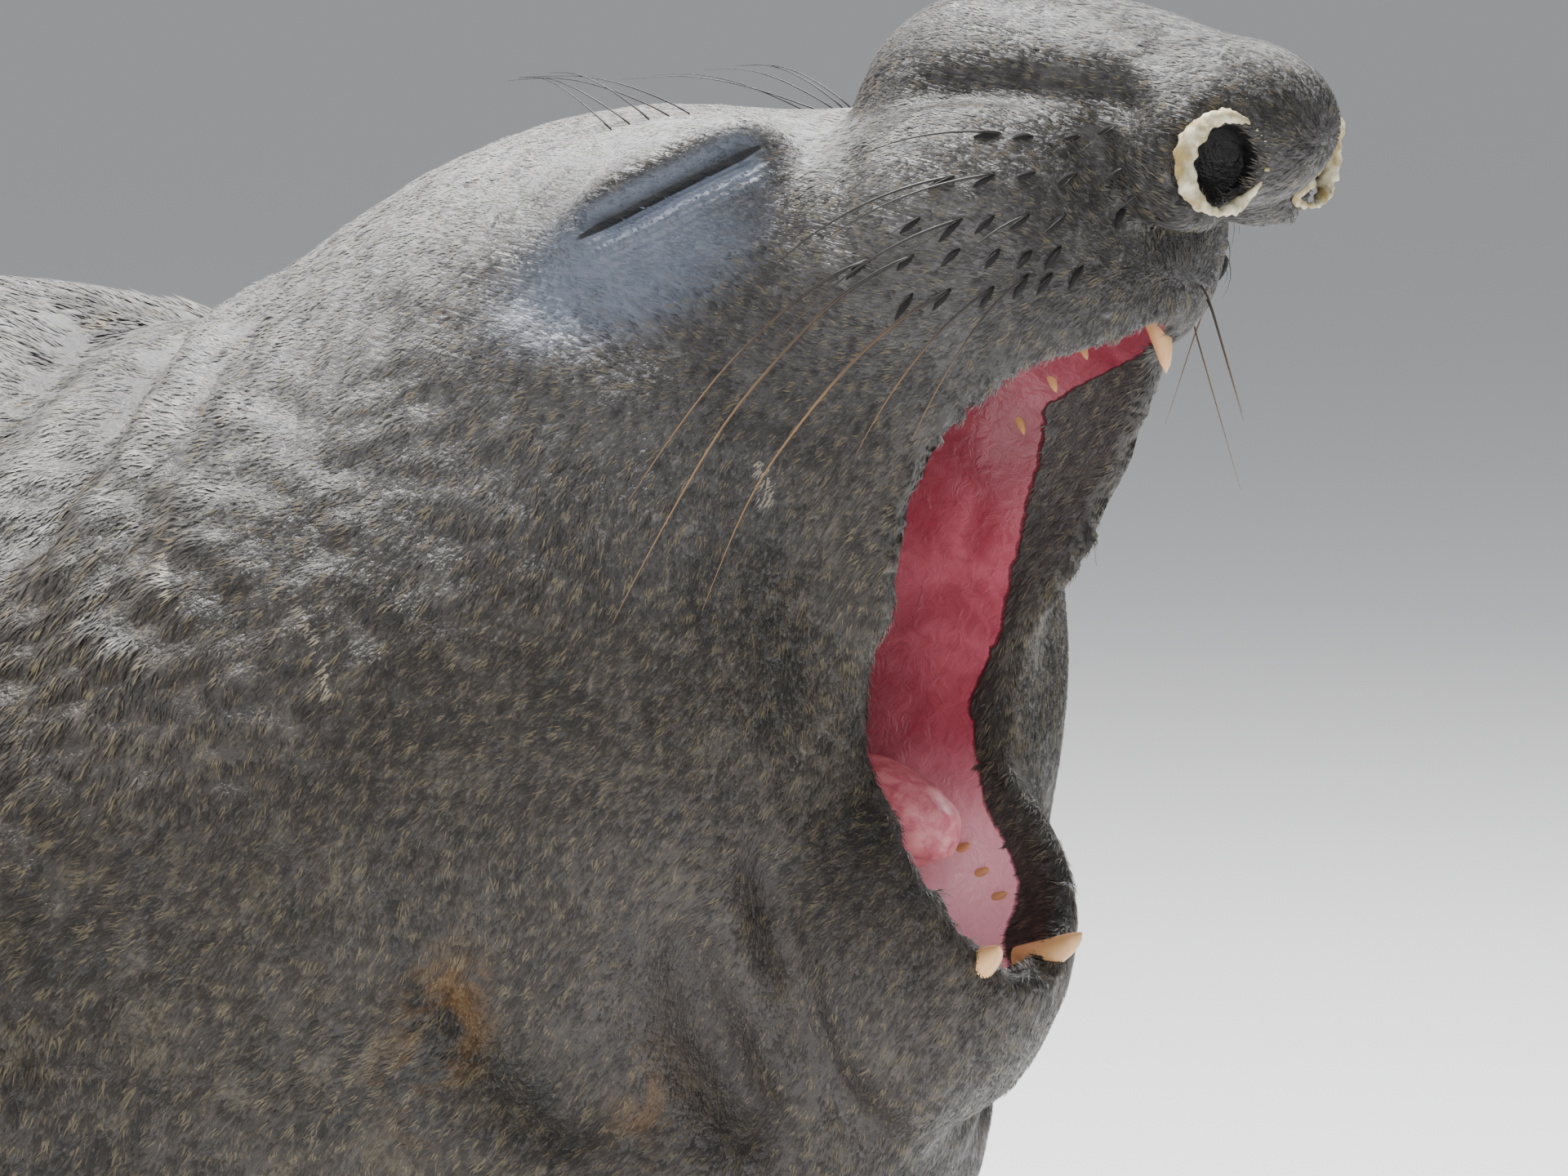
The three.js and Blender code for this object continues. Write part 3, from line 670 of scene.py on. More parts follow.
class SealColours(bpy.types.PropertyGroup):
    """Colours of the animal's surfaces."""

    coat_dark: colour_prop("Dark coat", "Darkest tone of the coat", (0.020, 0.018, 0.0165))
    coat_mid: colour_prop("Coat", "Middle tone of the coat", (0.062, 0.057, 0.056))
    # The pale coat is also painted as sheen on the tops of the back, neck and head
    coat_pale: colour_prop("Pale coat", "Palest tone of the coat", (0.33, 0.32, 0.315))
    coat_brown: colour_prop("Brown coat", "Brown tone of the neck and chest", (0.028, 0.021, 0.014))
    coat_straw: colour_prop("Straw coat", "Palest tone of the neck and chest", (0.22, 0.18, 0.105))
    lid: colour_prop("Eyelids", "Bare skin of the eyelids", (0.175, 0.21, 0.28))
    lid_shade: colour_prop("Upper eyelid", "Shaded skin over the slit", (0.024, 0.027, 0.036))
    # Painted shade inside the mouth's rim and under the chin, and the flippers' own dark skin
    lip: colour_prop("Lips", "Dark skin inside the lips", (0.045, 0.039, 0.037))
    stain: colour_prop("Stain", "Rust-brown stains on the neck", (0.135, 0.062, 0.010))
    lining: colour_prop("Mouth lining", "Lit lining of the mouth", (0.60, 0.15, 0.20))
    lining_deep: colour_prop("Deep lining", "Shaded lining of the mouth", (0.36, 0.055, 0.085))
    # Painted light on the floor of the mouth
    lining_pale: colour_prop("Pale lining", "Floor of the mouth", (0.97, 0.50, 0.58))
    # Painted shade at the back and the roof of the mouth
    throat: colour_prop("Throat", "Back of the mouth", (0.10, 0.012, 0.018))
    tongue: colour_prop("Tongue", "Tongue", (0.80, 0.31, 0.33))
    tooth: colour_prop("Tooth", "Worn tooth", (0.50, 0.27, 0.10))
    claw: colour_prop("Claw", "Claws", (0.03, 0.026, 0.022))
    whisker: colour_prop("Whisker", "Whisker root", (0.014, 0.010, 0.008))
    whisker_tip: colour_prop("Whisker tip", "Whisker tip", (0.24, 0.14, 0.06))
    crust: colour_prop("Nostril rim", "Dried rim of the nostril", (0.72, 0.68, 0.50))
    crust_dark: colour_prop("Dark nostril rim", "Darkest tone of the dried rim", (0.34, 0.25, 0.09))


def size_prop(name, description, default, smallest, unit="LENGTH"):
    return bpy.props.FloatProperty(
        name=name, description=description, default=default, min=smallest, unit=unit
    )


class SealSizes(bpy.types.PropertyGroup):
    """Sizes of the animal's surfaces."""

    skin_step: size_prop("Skin spacing", "Spacing of the skin's points over the head", 0.0050, 0.002)
    body_share: size_prop(
        "Body coarseness", "How many times wider the points are spaced over the trunk", 4.6, 1, "NONE"
    )
    whisker_width: size_prop("Whisker thickness", "Thickness of a whisker at its root", 0.0016, 0.0005)


def squeeze(points, share, back):
    """Draws the trunk small beside the head, or back, so that one even mesh is finer over the head."""
    xs = np.linspace(-3700, 500, 2001)
    scale = 1 / share + (1 - 1 / share) * smooth_step(xs, -700, -200)
    place = np.concatenate([[0], np.cumsum((scale[1:] + scale[:-1]) / 2 * np.diff(xs))])
    moved = points.copy()
    if back:
        moved[:, 0] = np.interp(points[:, 0], place, xs)
        size = np.interp(moved[:, 0], xs, scale)
        moved[:, 1:] = points[:, 1:] / size[:, None]
    else:
        moved[:, 0] = np.interp(points[:, 0], xs, place)
        size = np.interp(points[:, 0], xs, scale)
        moved[:, 1:] = points[:, 1:] * size[:, None]
    return moved


def distance_to_path(points, path):
    """Distance from points to a path of straight lengths, and how far along the path each is nearest."""
    best, along = np.full(len(points), 1e9), np.zeros(len(points))
    path = np.asarray(path, float)
    for i, (a, b) in enumerate(zip(path[:-1], path[1:])):
        line = b - a
        share = np.clip((points - a) @ line / (line @ line), 0, 1)
        away = np.linalg.norm(points - a - share[:, None] * line, axis=1)
        along = np.where(away < best, (i + share) / (len(path) - 1), along)
        best = np.minimum(best, away)
    return best, along


def ripple(points, length, seed):
    """Coherent waves between -1 and 1, about the given length apart, that pass for noise."""
    rng = np.random.default_rng(seed)
    total = np.zeros(len(points))
    for _ in range(7):
        way = rng.normal(size=3)
        way *= 2 * math.pi / (length * rng.uniform(0.7, 1.5) * np.linalg.norm(way))
        bend = rng.normal(size=3) * 3 / (length * 4)
        total += np.sin(points @ way + 1.6 * np.sin(points @ bend + rng.uniform(0, 6)) + rng.uniform(0, 6))
    return total / 3.2


def folded(points):
    """Sinks the creases into the skin, raises the skin beside them and adds the lumps of loose hide."""
    near = mirrored(points) * (1, -1, 1)
    rise = np.zeros(len(points))
    for path, width, depth in CREASES:
        path = onto_skin(eased(path, 4 * len(path)))
        low, high = path.min(0) - 4 * width, path.max(0) + 4 * width
        chosen = np.flatnonzero(np.all((near > low) & (near < high), axis=1))
        away, along = distance_to_path(near[chosen], path)
        away = away / width
        taper = smooth_step(along, 0, 0.2) * smooth_step(along, 1, 0.8)
        rise[chosen] += depth * taper * (0.4 * np.exp(-((away - 1.9) ** 2)) - np.exp(-(away**2)))
    x, _, z = points.T
    loose = smooth_step(x, 60, -120) * smooth_step(z, 230, 60)
    loose *= smooth_step(slit_marks(mirrored(points))[1], 0.3, 0)
    rise += loose * (1.0 * ripple(points, 20, 4) + 0.9 * ripple(points, 46, 5))
    back = smooth_step(x, -420, -900)
    rise += back * (4 * ripple(points * (1, 0.35, 0.35), 190, 6) + 2 * ripple(points, 120, 7))
    return points + outwards(points) * rise[:, None]


SKIN_NODES = ("hips", "belly", "chest", "neck", "head", "lower_jaw", "muzzle", "nose")
LIMBS = ("fore_flipper_left", "fore_flipper_right", "hind_flipper_left", "hind_flipper_right", "tail")
# Spacing, in metres, of the first even mesh that joins the solids
JOINING_STEP = 0.011


def make_skin(sizes):
    """The whole hide in one mesh, fine over the head."""
    skin = node_copy("skin", SKIN_NODES)
    remeshed(skin, JOINING_STEP)
    keep_largest(skin.data)
    edges = edges_of(skin.data)
    points = to_form(points_of(skin.data))
    points = onto_skin(relaxed(points, edges, 8, settle=True), 2)
    set_points(skin.data, squeeze(points, sizes.body_share, False) * MM)
    remeshed(skin, sizes.skin_step)
    keep_largest(skin.data)
    points = squeeze(points_of(skin.data) / MM, sizes.body_share, True)
    edges = edges_of(skin.data)
    points = onto_skin(relaxed(points, edges, 3, 0.4, settle=True), 2)
    set_points(skin.data, to_metres(points))
    # The upward slope, from which the sheen on the coat's top is painted
    set_value(skin.data, "slope", normals_of(skin.data)[:, 2])
    points = folded(points)
    points[:, 2] = np.maximum(points[:, 2], FLOOR + 1)
    set_points(skin.data, to_metres(points))
    smooth_shaded(skin.data)
    return skin


# Where the mouth's lining ends on the cheeks: height, and how far forward it comes
LINING_EDGE = np.array([
    [-175, 92], [-150, 98], [-127, 98], [-99, 83], [-80, 77], [-50, 69], [-13, 84],
    [44, 93], [81, 102], [93, 123], [123, 203],
], float)
EYE_SLIT = [(-14, -119, 159), (6, -112, 170), (28, -99, 183), (40, -87, 191), (47, -78, 196)]
# Bare skin below the eye
LID = {"at": (4, 112, 146), "reach": (76, 60, 36), "turn": (22, -32, 0)}
PAD_AT = (128, 80, 165)
MOUTH = ("mouth", "palate", "jaw_trough")
STAINS = (((-46, -176, -172), 30), ((-62, -178, -196), 26), ((16, -118, -210), 24), ((40, 150, -180), 30))
# Pale scars and a small wound of the right side: points and half widths
SCARS = (
    ([(68, -101, 63), (71, -100, 56), (71, -102, 49)], 3.4),
    ([(-96, -213, 4), (-84, -213, -14), (-78, -214, -34)], 1.8),
    ([(-167, -222, 22), (-158, -224, 8), (-150, -224, -2)], 2.2),
)


def slit_marks(near):
    """Signed distance up from the closed eye's slit, and a mask of the slit's length."""
    path = eased(EYE_SLIT, 16) * (1, -1, 1)
    along = path[-1] - path[0]
    long = np.linalg.norm(along)
    along /= long
    over = outwards(path[8:9])[0]
    rise = np.cross(along, over)
    rise *= np.sign(rise[2]) / np.linalg.norm(rise)
    offset, knots = near - path[0], path - path[0]
    place = offset @ along
    up = offset @ rise - np.interp(place, knots @ along, knots @ rise)
    length = smooth_step(place / long, -0.12, 0.12) * smooth_step(place / long, 1.1, 0.9)
    length *= smooth_step(np.abs(offset @ np.cross(rise, along)), 60, 40)
    return np.clip(up, -60, 60), length * smooth_step(np.abs(up), 45, 30)


def skin_marks(points, slope):
    """Marks that the coat's materials read, at points with their upward slopes."""
    x, y, z = points.T
    side = np.abs(y)
    near = mirrored(points)
    hollow = -hollow_depth(points, MOUTH)
    deep = -filled_body(points)
    middle = smooth_step(side, 34, 14)
    border = np.interp(z, LINING_EDGE[:, 0], LINING_EDGE[:, 1]) - x
    border += middle * (16 + 14 * smooth_step(z, -60, 20))
    border = np.minimum(border, np.minimum((deep - 5) * 1.2, (hollow + 7) * 2))
    within = smooth_step(hollow, -6, -1)
    # Painted shade: the band just inside the mouth's rim is given the lips' dark tone.
    lip = within * smooth_step(deep, 2, 14)
    slit, length = slit_marks(near)
    lid_place = (near - LID["at"]) @ turned(*LID["turn"]) / LID["reach"]
    lid = smooth_step(np.linalg.norm(lid_place, axis=1), 1.1, 0.35)
    lid = np.maximum(0.75 * lid, smooth_step(slit, -22, -4) * smooth_step(slit, 14, 4) * length)
    stain = np.zeros(len(points))
    for spot, size in STAINS:
        away = np.linalg.norm((points - spot) / (1, 1, 1.7), axis=1)
        stain = np.maximum(stain, smooth_step(away, size, size * 0.2))
    head = smooth_step(x, -330, -120)
    # Painted sheen: the coat is painted paler where the skin faces up, most over the back and the head, less
    # on the nose and low on the head.
    top = smooth_step(slope, 0.58 - 0.28 * head, 0.95) * (1 - within)
    strength = 0.40 + 0.22 * smooth_step(x, -1100, -600) + 0.26 * head
    top *= strength * (1 - 0.9 * smooth_step(x, 40, 110))
    top *= 1 - 0.8 * head * smooth_step(z, 140, 50)
    # Painted shade: the sheen is taken out along the nape's folds, so that they show darker.
    for path, width, _ in NECK_FOLDS:
        top *= 1 - 0.8 * np.exp(-((distance_to_path(near * (1, -1, 1), path)[0] / width) ** 2))
    pad = 0.16 * smooth_step(np.linalg.norm(near - PAD_AT, axis=1), 70, 20) * (1 - within)
    # Painted shade: the roof and the back of the mouth are painted darker, where the lining lies in shade.
    upper = 0.6 * smooth_step(z, 10, 75)
    cheek = smooth_step(hollow, -70, -10) * smooth_step(z, 120, 40)
    # Painted shade: the front of the chin, below the jaw, is given the lips' dark tone.
    chin_shade = 0.5 * smooth_step(x, -20, 50) * smooth_step(z, -60, -120)
    # The flippers' own darker, nearly bare skin takes the same tone.
    limb = 0.65 * smooth_step(-deep, 15, 45)
    return {
        "border": border,
        # lip: painted shade inside the mouth's rim and under the chin, with the flippers' own dark skin
        "lip": np.maximum(np.maximum(0.75 * lip, chin_shade), limb),
        "lid": lid,
        "slit": slit,
        "shade": length,
        "stain": 0.7 * stain,
        # pale: the painted sheen on the coat's top, with the whisker pad's own paler tone
        "pale": np.clip(np.maximum(top, pad), 0, 1),
        "brown": 0.9 * np.maximum(smooth_step(z, 120, -120), cheek),
        "lie": smooth_step(z, 170, 40) * smooth_step(x, -1300, -600),
        # deep: painted shade at the back and the roof of the mouth
        "deep": np.maximum(0.5 * smooth_step(x, 66, 14), upper) * within,
        # painted light on the floor of the mouth
        "lit_mouth_floor": smooth_step(z, -60, -130) * within,
        "nostril": smooth_step(-hollow_depth(points, ("nostril",)), -3.0, -0.5) * smooth_step(deep, 1, 5),
    }


def mark_piece(mesh, border=None):
    """Sets the marks at each point of a mesh, with a fixed border mark where it lies outside the body."""
    points = to_form(points_of(mesh))
    for name, values in skin_marks(points, values_of(mesh, "slope")).items():
        set_value(mesh, name, values if border is None or name != "border" else np.full(len(points), border))


def lie_of_coat(points, normals, rng):
    """The way that the coat lies at points of the skin."""
    lie = smooth_step(points[:, 2], 170, 40) * smooth_step(points[:, 0], -1300, -600)
    way = (1 - lie)[:, None] * np.array(BACK_WAY) + lie[:, None] * np.array(DOWN_WAY)
    x, y, z = points.T
    swirl = 0.30 * np.sin(x / 47 + z / 31) + 0.2 * np.sin(z / 19 - y / 23)
    swirl += rng.normal(0, 0.16, len(points))
    way -= normals * np.sum(way * normals, axis=1, keepdims=True)
    way /= np.maximum(np.linalg.norm(way, axis=1, keepdims=True), 1e-6)
    across = np.cross(normals, way)
    way = way * np.cos(swirl)[:, None] + across * np.sin(swirl)[:, None]
    return way, np.cross(normals, way)


class SealOperator:
    """What every step of the model shares."""

    bl_options = {"REGISTER", "UNDO"}

    @property
    def colours(self):
        return bpy.context.scene.seal_colours

    @property
    def sizes(self):
        return bpy.context.scene.seal_sizes


class SEAL_OT_skin(SealOperator, bpy.types.Operator):
    """Makes the hide from the nose to the hips"""

    bl_idname = "seal.skin"
    bl_label = "Skin"

    def execute(self, context):
        skin = make_skin(self.sizes)
        mark_piece(skin.data)
        material = coat_material(self.colours)
        finish_piece(skin, material, SKIN_NODES + ("eyelid_left", "eyelid_right"))
        return {"FINISHED"}


# Each part of the coat: where it starts and ends along the body, tufts, length, width and lift in millimetres
COAT_PARTS = {
    "coat_face": (20, 400, 98000, 5.0, 0.75, 0.45),
    "coat_crown": (-150, 20, 98000, 6.0, 0.85, 0.5),
    "coat_neck": (-360, -150, 98000, 8.0, 1.1, 0.7),
    "coat_shoulders": (-800, -360, 90000, 13.0, 2.2, 1.2),
    "coat_trunk": (-3400, -800, 98000, 26.0, 4.4, 2.2),
}


# Tufts on the flippers and the tail, with their length, width and lift
LIMB_COAT = (70000, 9.0, 1.5, 0.8)


def unwrapped(points, share):
    """Place of points on an unwrap of the skin: along the body and round it."""
    along = squeeze(points, share, False)[:, 0]
    whole = squeeze(np.array([[-3450.0, 0, 0], [320.0, 0, 0]]), share, False)[:, 0]
    middle = np.interp(points[:, 0], [-3300, -1300, -300, 100, 260], [-620, -330, -160, 20, 190])
    round_it = np.arctan2(points[:, 1], points[:, 2] - middle) / (2 * math.pi) + 0.5
    return np.column_stack([(along - whole[0]) / (whole[1] - whole[0]), round_it]) * 0.98 + 0.01


def tuft_mesh(name, surface, length, width, lift, share, rng):
    """Flat four-cornered tufts, each folded along its middle, at roots on the skin."""
    roots, normals, slope = surface
    count = len(roots)
    way, across = lie_of_coat(roots, normals, rng)
    lip = smooth_step(np.abs(hollow_depth(roots, MOUTH)), 9, 2)
    lip *= smooth_step(np.abs(filled_body(roots)), 9, 2)
    bald = 1 - 0.45 * smooth_step(slit_marks(np.abs(roots))[1], 0, 1)
    clump = ripple(roots, 2.2 * length, 21) * 0.6 + ripple(roots, 5 * length, 22) * 0.4
    long = length * rng.uniform(0.75, 1.3, count) * (1 + 0.4 * lip) * bald
    wide = width * rng.uniform(0.6, 1.2, count)
    stand = lift * np.clip(0.7 + 0.9 * clump + rng.normal(0, 0.2, count), 0.15, 2.2)
    stand = stand * bald + 2.6 * lip * rng.uniform(0, 1, count)
    bend = across * ((rng.normal(0, 0.08, count) + 0.10 * ripple(roots, 3 * length, 23)) * long)[:, None]
    root = roots - normals * 0.5
    belly = roots + way * (long * 0.42)[:, None] + normals * (stand * 0.75)[:, None]
    corners = np.stack([
        root,
        belly + across * (wide / 2)[:, None],
        belly - across * (wide / 2)[:, None],
        roots + way * long[:, None] + normals * stand[:, None] + bend,
    ], axis=1)
    corners[:, :, 2] = np.maximum(corners[:, :, 2], FLOOR + 1.5)
    mesh = bpy.data.meshes.new(name)
    mesh.vertices.add(count * 4)
    mesh.vertices.foreach_set("co", to_metres(corners.reshape(-1, 3)).astype(np.float32).ravel())
    first = np.arange(count)[:, None] * 4
    triangles = np.concatenate([first + (0, 1, 2), first + (1, 3, 2)], axis=1).reshape(-1)
    mesh.loops.add(len(triangles))
    mesh.loops.foreach_set("vertex_index", triangles.astype(np.int32))
    mesh.polygons.add(len(triangles) // 3)
    mesh.polygons.foreach_set("loop_start", np.arange(0, len(triangles), 3, dtype=np.int32))
    mesh.update(calc_edges=True)
    mesh.validate()
    place = unwrapped(roots, share)[:, None, :]
    patch = np.array([[0, -0.0015], [-0.0015, 0], [0.0015, 0], [0, 0.0015]])
    corner_place = (place + patch).reshape(-1, 2)[triangles]
    layer = mesh.uv_layers.new(name="OFBake")
    layer.data.foreach_set("uv", corner_place.astype(np.float32).ravel())
    marks = skin_marks(roots, slope)
    contrast = np.interp(length, [8, 26], [1.0, 0.35])
    tone = contrast * (0.4 * ripple(roots, 1.5 * length, 24) + rng.normal(0, 0.13, count))
    tone = np.clip(0.5 + tone * (1 - 0.8 * marks["lid"]), 0, 1)
    for path, half in SCARS:
        away = distance_to_path(roots, onto_skin(eased(path, 12), 6))[0]
        scar = smooth_step(away, half * 1.25, half * 0.75)
        marks["pale"] = np.maximum(marks["pale"], scar)
        tone = np.maximum(tone, scar)
    for mark in COAT_MARKS:
        set_value(mesh, mark, np.repeat(marks[mark], 4))
    # The tone falls at each tuft's root and rises at its tip: painted shade at the roots and painted light at
    # the tips, over a tone that varies by tuft
    set_value(mesh, "tone", (tone[:, None] + contrast * np.array([-0.42, -0.02, -0.02, 0.22])).ravel())
    smooth_shaded(mesh)
    return mesh


def surface_of(pieces):
    """Points in form millimetres, normals with the skin's slope, and triangles of some pieces together."""
    points, normals, triangles = [], [], []
    first = 0
    for piece in pieces:
        mesh = piece.data
        mesh.calc_loop_triangles()
        flat = np.empty(len(mesh.loop_triangles) * 3, np.int32)
        mesh.loop_triangles.foreach_get("vertices", flat)
        triangles.append(flat.reshape(-1, 3) + first)
        points.append(to_form(points_of(mesh)))
        normals.append(np.column_stack([normals_of(mesh), values_of(mesh, "slope")]))
        first += len(mesh.vertices)
    return np.vstack(points), np.vstack(normals), np.vstack(triangles)


def scattered(points, normals, triangles, chosen, count, rng):
    """Even places over the chosen triangles, with the surface's normals there."""
    a, b, c = (points[triangles[:, i]] for i in range(3))
    weight = np.linalg.norm(np.cross(b - a, c - a), axis=1) * chosen
    corners = triangles[rng.choice(len(weight), count, p=weight / weight.sum())]
    u, v = rng.random((2, count, 1))
    u, v = np.where(u + v > 1, 1 - u, u), np.where(u + v > 1, 1 - v, v)
    places, over = (
        (1 - u - v) * values[corners[:, 0]] + u * values[corners[:, 1]] + v * values[corners[:, 2]]
        for values in (points, normals)
    )
    slope = over[:, 3]
    over = over[:, :3] / np.linalg.norm(over[:, :3], axis=1, keepdims=True)
    return places, over, slope


class SEAL_OT_coat(SealOperator, bpy.types.Operator):
    """Makes the short tufts of the coat over the skin"""

    bl_idname = "seal.coat"
    bl_label = "Coat"

    def execute(self, context):
        rng = np.random.default_rng(11)
        material = hair_material(self.colours)
        points, normals, triangles = surface_of([bpy.data.objects["skin"]])
        middle = points[triangles].mean(axis=1)
        marks = skin_marks(middle, np.zeros(len(middle)))
        covered = (marks["border"] < -3) & (marks["nostril"] < 0.2) & (middle[:, 2] > FLOOR + 12)
        covered &= (np.abs(marks["slit"]) > 3.5) | (marks["shade"] < 0.1)
        for name, (back, front, count, *shape) in COAT_PARTS.items():
            chosen = covered * (middle[:, 0] > back) * (middle[:, 0] <= front)
            surface = scattered(points, normals, triangles, chosen, count, rng)
            if name == "coat_face":
                pits = np.vstack([line for side in (-1, 1) for line in pit_lines(side)])
                gap = np.min(np.linalg.norm(surface[0][:, None] - pits, axis=2), axis=1)
                surface = [values[gap > 2.6] for values in surface]
            made = tuft_mesh(name, surface, *shape, self.sizes.body_share, rng)
            finish_piece(new_object(name, made), material)
        limbs = [bpy.data.objects[name + "_skin"] for name in LIMBS]
        points, normals, triangles = surface_of(limbs)
        chosen = points[triangles].mean(axis=1)[:, 2] > FLOOR + 5
        count, *shape = LIMB_COAT
        surface = scattered(points, normals, triangles, chosen, count, rng)
        made = tuft_mesh("coat_limbs", surface, *shape, self.sizes.body_share, rng)
        finish_piece(new_object("coat_limbs", made), material)
        return {"FINISHED"}


class SEAL_OT_flippers(SealOperator, bpy.types.Operator):
    """Makes the four flippers and the tail"""

    bl_idname = "seal.flippers"
    bl_label = "Flippers"

    def execute(self, context):
        for name in LIMBS:
            piece = node_copy(name + "_skin", [name])
            remeshed(piece, 0.004 if name.startswith("hind") else 0.005)
            keep_largest(piece.data)
            points = relaxed(points_of(piece.data), edges_of(piece.data), 5)
            points[:, 2] = np.maximum(points[:, 2], 0.001)
            set_points(piece.data, points)
            smooth_shaded(piece.data)
            # The slope is kept low, so that no painted sheen lies on the flippers
            set_value(piece.data, "slope", normals_of(piece.data)[:, 2] * 0.4)
            mark_piece(piece.data, -60)
            finish_piece(piece, bpy.data.materials["coat"], [name])
        return {"FINISHED"}


class SEAL_OT_tongue(SealOperator, bpy.types.Operator):
    """Makes the tongue on the floor of the mouth"""

    bl_idname = "seal.tongue"
    bl_label = "Tongue"

    def execute(self, context):
        piece = node_copy("tongue_flesh", ["tongue"])
        remeshed(piece, 0.0025)
        points = relaxed(points_of(piece.data), edges_of(piece.data), 6)
        x, y, z = to_form(points).T
        rough = np.sin(x / 4.1 + 1) * np.sin(y / 3.3) + np.sin(z / 2.7 + x / 5)
        points += normals_of(piece.data) * rough[:, None] * 0.55 * MM
        set_points(piece.data, points)
        smooth_shaded(piece.data)
        material = horn_material("tongue", self.colours.lining, self.colours.tongue, 160, 0.28, (1, 1, 1))
        finish_piece(piece, material, ["tongue"])
        return {"FINISHED"}


def horn_path(root, tip, radius, bow, steps=12):
    root, tip = np.array(root, float), np.array(tip, float)
    t = np.linspace(0, 1, steps)[:, None]
    middle = root + 0.55 * (tip - root) + np.array(bow, float)
    path = (1 - t) ** 2 * root + 2 * t * (1 - t) * middle + t**2 * tip
    radii = radius * np.maximum(1 - t[:, 0] ** 1.7, 0.006) ** 0.62
    return path, radii


# Root and tip of the canines of one side
UPPER_CANINE = np.array([(176, 22, 142), (189, 24, 101)], float)
LOWER_CANINE = np.array([(112, 24, -160), (141, 30, -145)], float)
# Share of the near upper canine that is worn away
WORN = 0.6
# Cheek teeth of the upper and the lower jaw: place of the first and the last, and how they rise from the gum
CHEEK_TEETH = (
    ((150, 34, 118), (95, 46, 72), (3, -1, -5)),
    ((88, 44, -136), (56, 44, -104), (5, -1, 2)),
)
CHEEK_TEETH_COUNT = 4


class SEAL_OT_teeth(SealOperator, bpy.types.Operator):
    """Makes the canines and the small cheek teeth"""

    bl_idname = "seal.teeth"
    bl_label = "Teeth"

    def execute(self, context):
        paths = []
        for side in (-1, 1):
            mirror = (1, side, 1)
            worn = WORN if side < 0 else 0.0
            root, tip = UPPER_CANINE
            tip = tip * (1 - worn) + root * worn
            paths.append(horn_path(root * mirror, tip * mirror, 6.6, (6, 0, 0)))
            root, tip = LOWER_CANINE * mirror
            paths.append(horn_path(root, tip, 8.1 - 0.5 * side, (5, 0, -2)))
            for i in range(CHEEK_TEETH_COUNT):
                t = i / (CHEEK_TEETH_COUNT - 1)
                for first, last, rise in CHEEK_TEETH:
                    gum = np.array(first, float) * (1 - t) + np.array(last, float) * t
                    root = onto_skin((gum * mirror)[None], 6)[0]
                    rise = np.array(rise) * mirror
                    paths.append(horn_path(root - rise * 0.5, root + rise, 2.2, (0, 0, 0), 7))
        piece = bristles("teeth", paths, 6)
        pale = tuple(min(1, 1.5 * c + 0.08) for c in self.colours.tooth)
        finish_piece(piece, horn_material("tooth", self.colours.tooth, pale, 90, 0.25))
        return {"FINISHED"}


# Middle line of a fore flipper's end, how far its claws spread and how long they are
CLAW_LINE = ((-720, 505, -612), (-905, 690, -692))
CLAW_SPREAD = 94
CLAW_LENGTH = 34


class SEAL_OT_claws(SealOperator, bpy.types.Operator):
    """Makes the five claws of each fore flipper"""

    bl_idname = "seal.claws"
    bl_label = "Claws"

    def execute(self, context):
        wrist, end = np.array(CLAW_LINE, float)
        along = (end - wrist) / np.linalg.norm(end - wrist)
        across = np.cross((0, 0, 1), along)
        across /= np.linalg.norm(across)
        paths = []
        for side in (-1, 1):
            for i in range(5):
                share = i / 4 - 0.5
                root = end + across * share * CLAW_SPREAD - along * 14
                tip = root + along * (18 + CLAW_LENGTH * (1 - 0.3 * abs(share)))
                path, radii = horn_path(root, tip, 7.2, (0, 0, 7))
                path[:, 2] = np.maximum(path[:, 2], FLOOR + 1 + radii)
                paths.append((path * (1, side, 1), radii))
        piece = bristles("claws", paths, 3)
        pale = tuple(2.5 * c for c in self.colours.claw)
        finish_piece(piece, horn_material("claw", self.colours.claw, pale, 60, 0.35))
        return {"FINISHED"}


def lying_hairs(roots, ways, lengths, stands, steps, droop=0.3):
    """Hairs that leave the skin at their roots and lie over it, worked out together."""
    at = onto_skin(np.asarray(roots, float), 6)
    ways = np.asarray(ways, float)
    ways /= np.linalg.norm(ways, axis=1, keepdims=True)
    lengths, stands = np.asarray(lengths, float), np.asarray(stands, float)
    out = outwards(at)
    lines = [at - out * 2.5, at + out * 0.4]
    for i in range(1, steps + 1):
        share = i / steps
        step = ways - np.outer(np.broadcast_to(droop, len(at)) * share, (0, 0, 1))
        at = at + step * (lengths / steps)[:, None]
        goal = 0.9 + stands * math.sin(math.pi * 0.55 * share)
        for _ in range(3):
            lift = goal - body(at)
            lift = np.where(stands > 10, np.maximum(lift, 0) * 0.8, lift)
            at = at + outwards(at) * lift[:, None]
        lines.append(at.copy())
    return np.stack(lines, axis=1)


# Roots in each row of the whisker pad
PAD_ROWS = (4, 5, 6, 7, 6)
# Dark tones of the whisker pits: painted shade in their hollows
PIT_SHADE_TONES = ((0.006, 0.005, 0.005), (0.014, 0.012, 0.012))
# Sine and cosine of the camera's turn, by which the pad's roots are placed as they are seen
TURN_SINE, TURN_COSINE = 0.616, 0.788
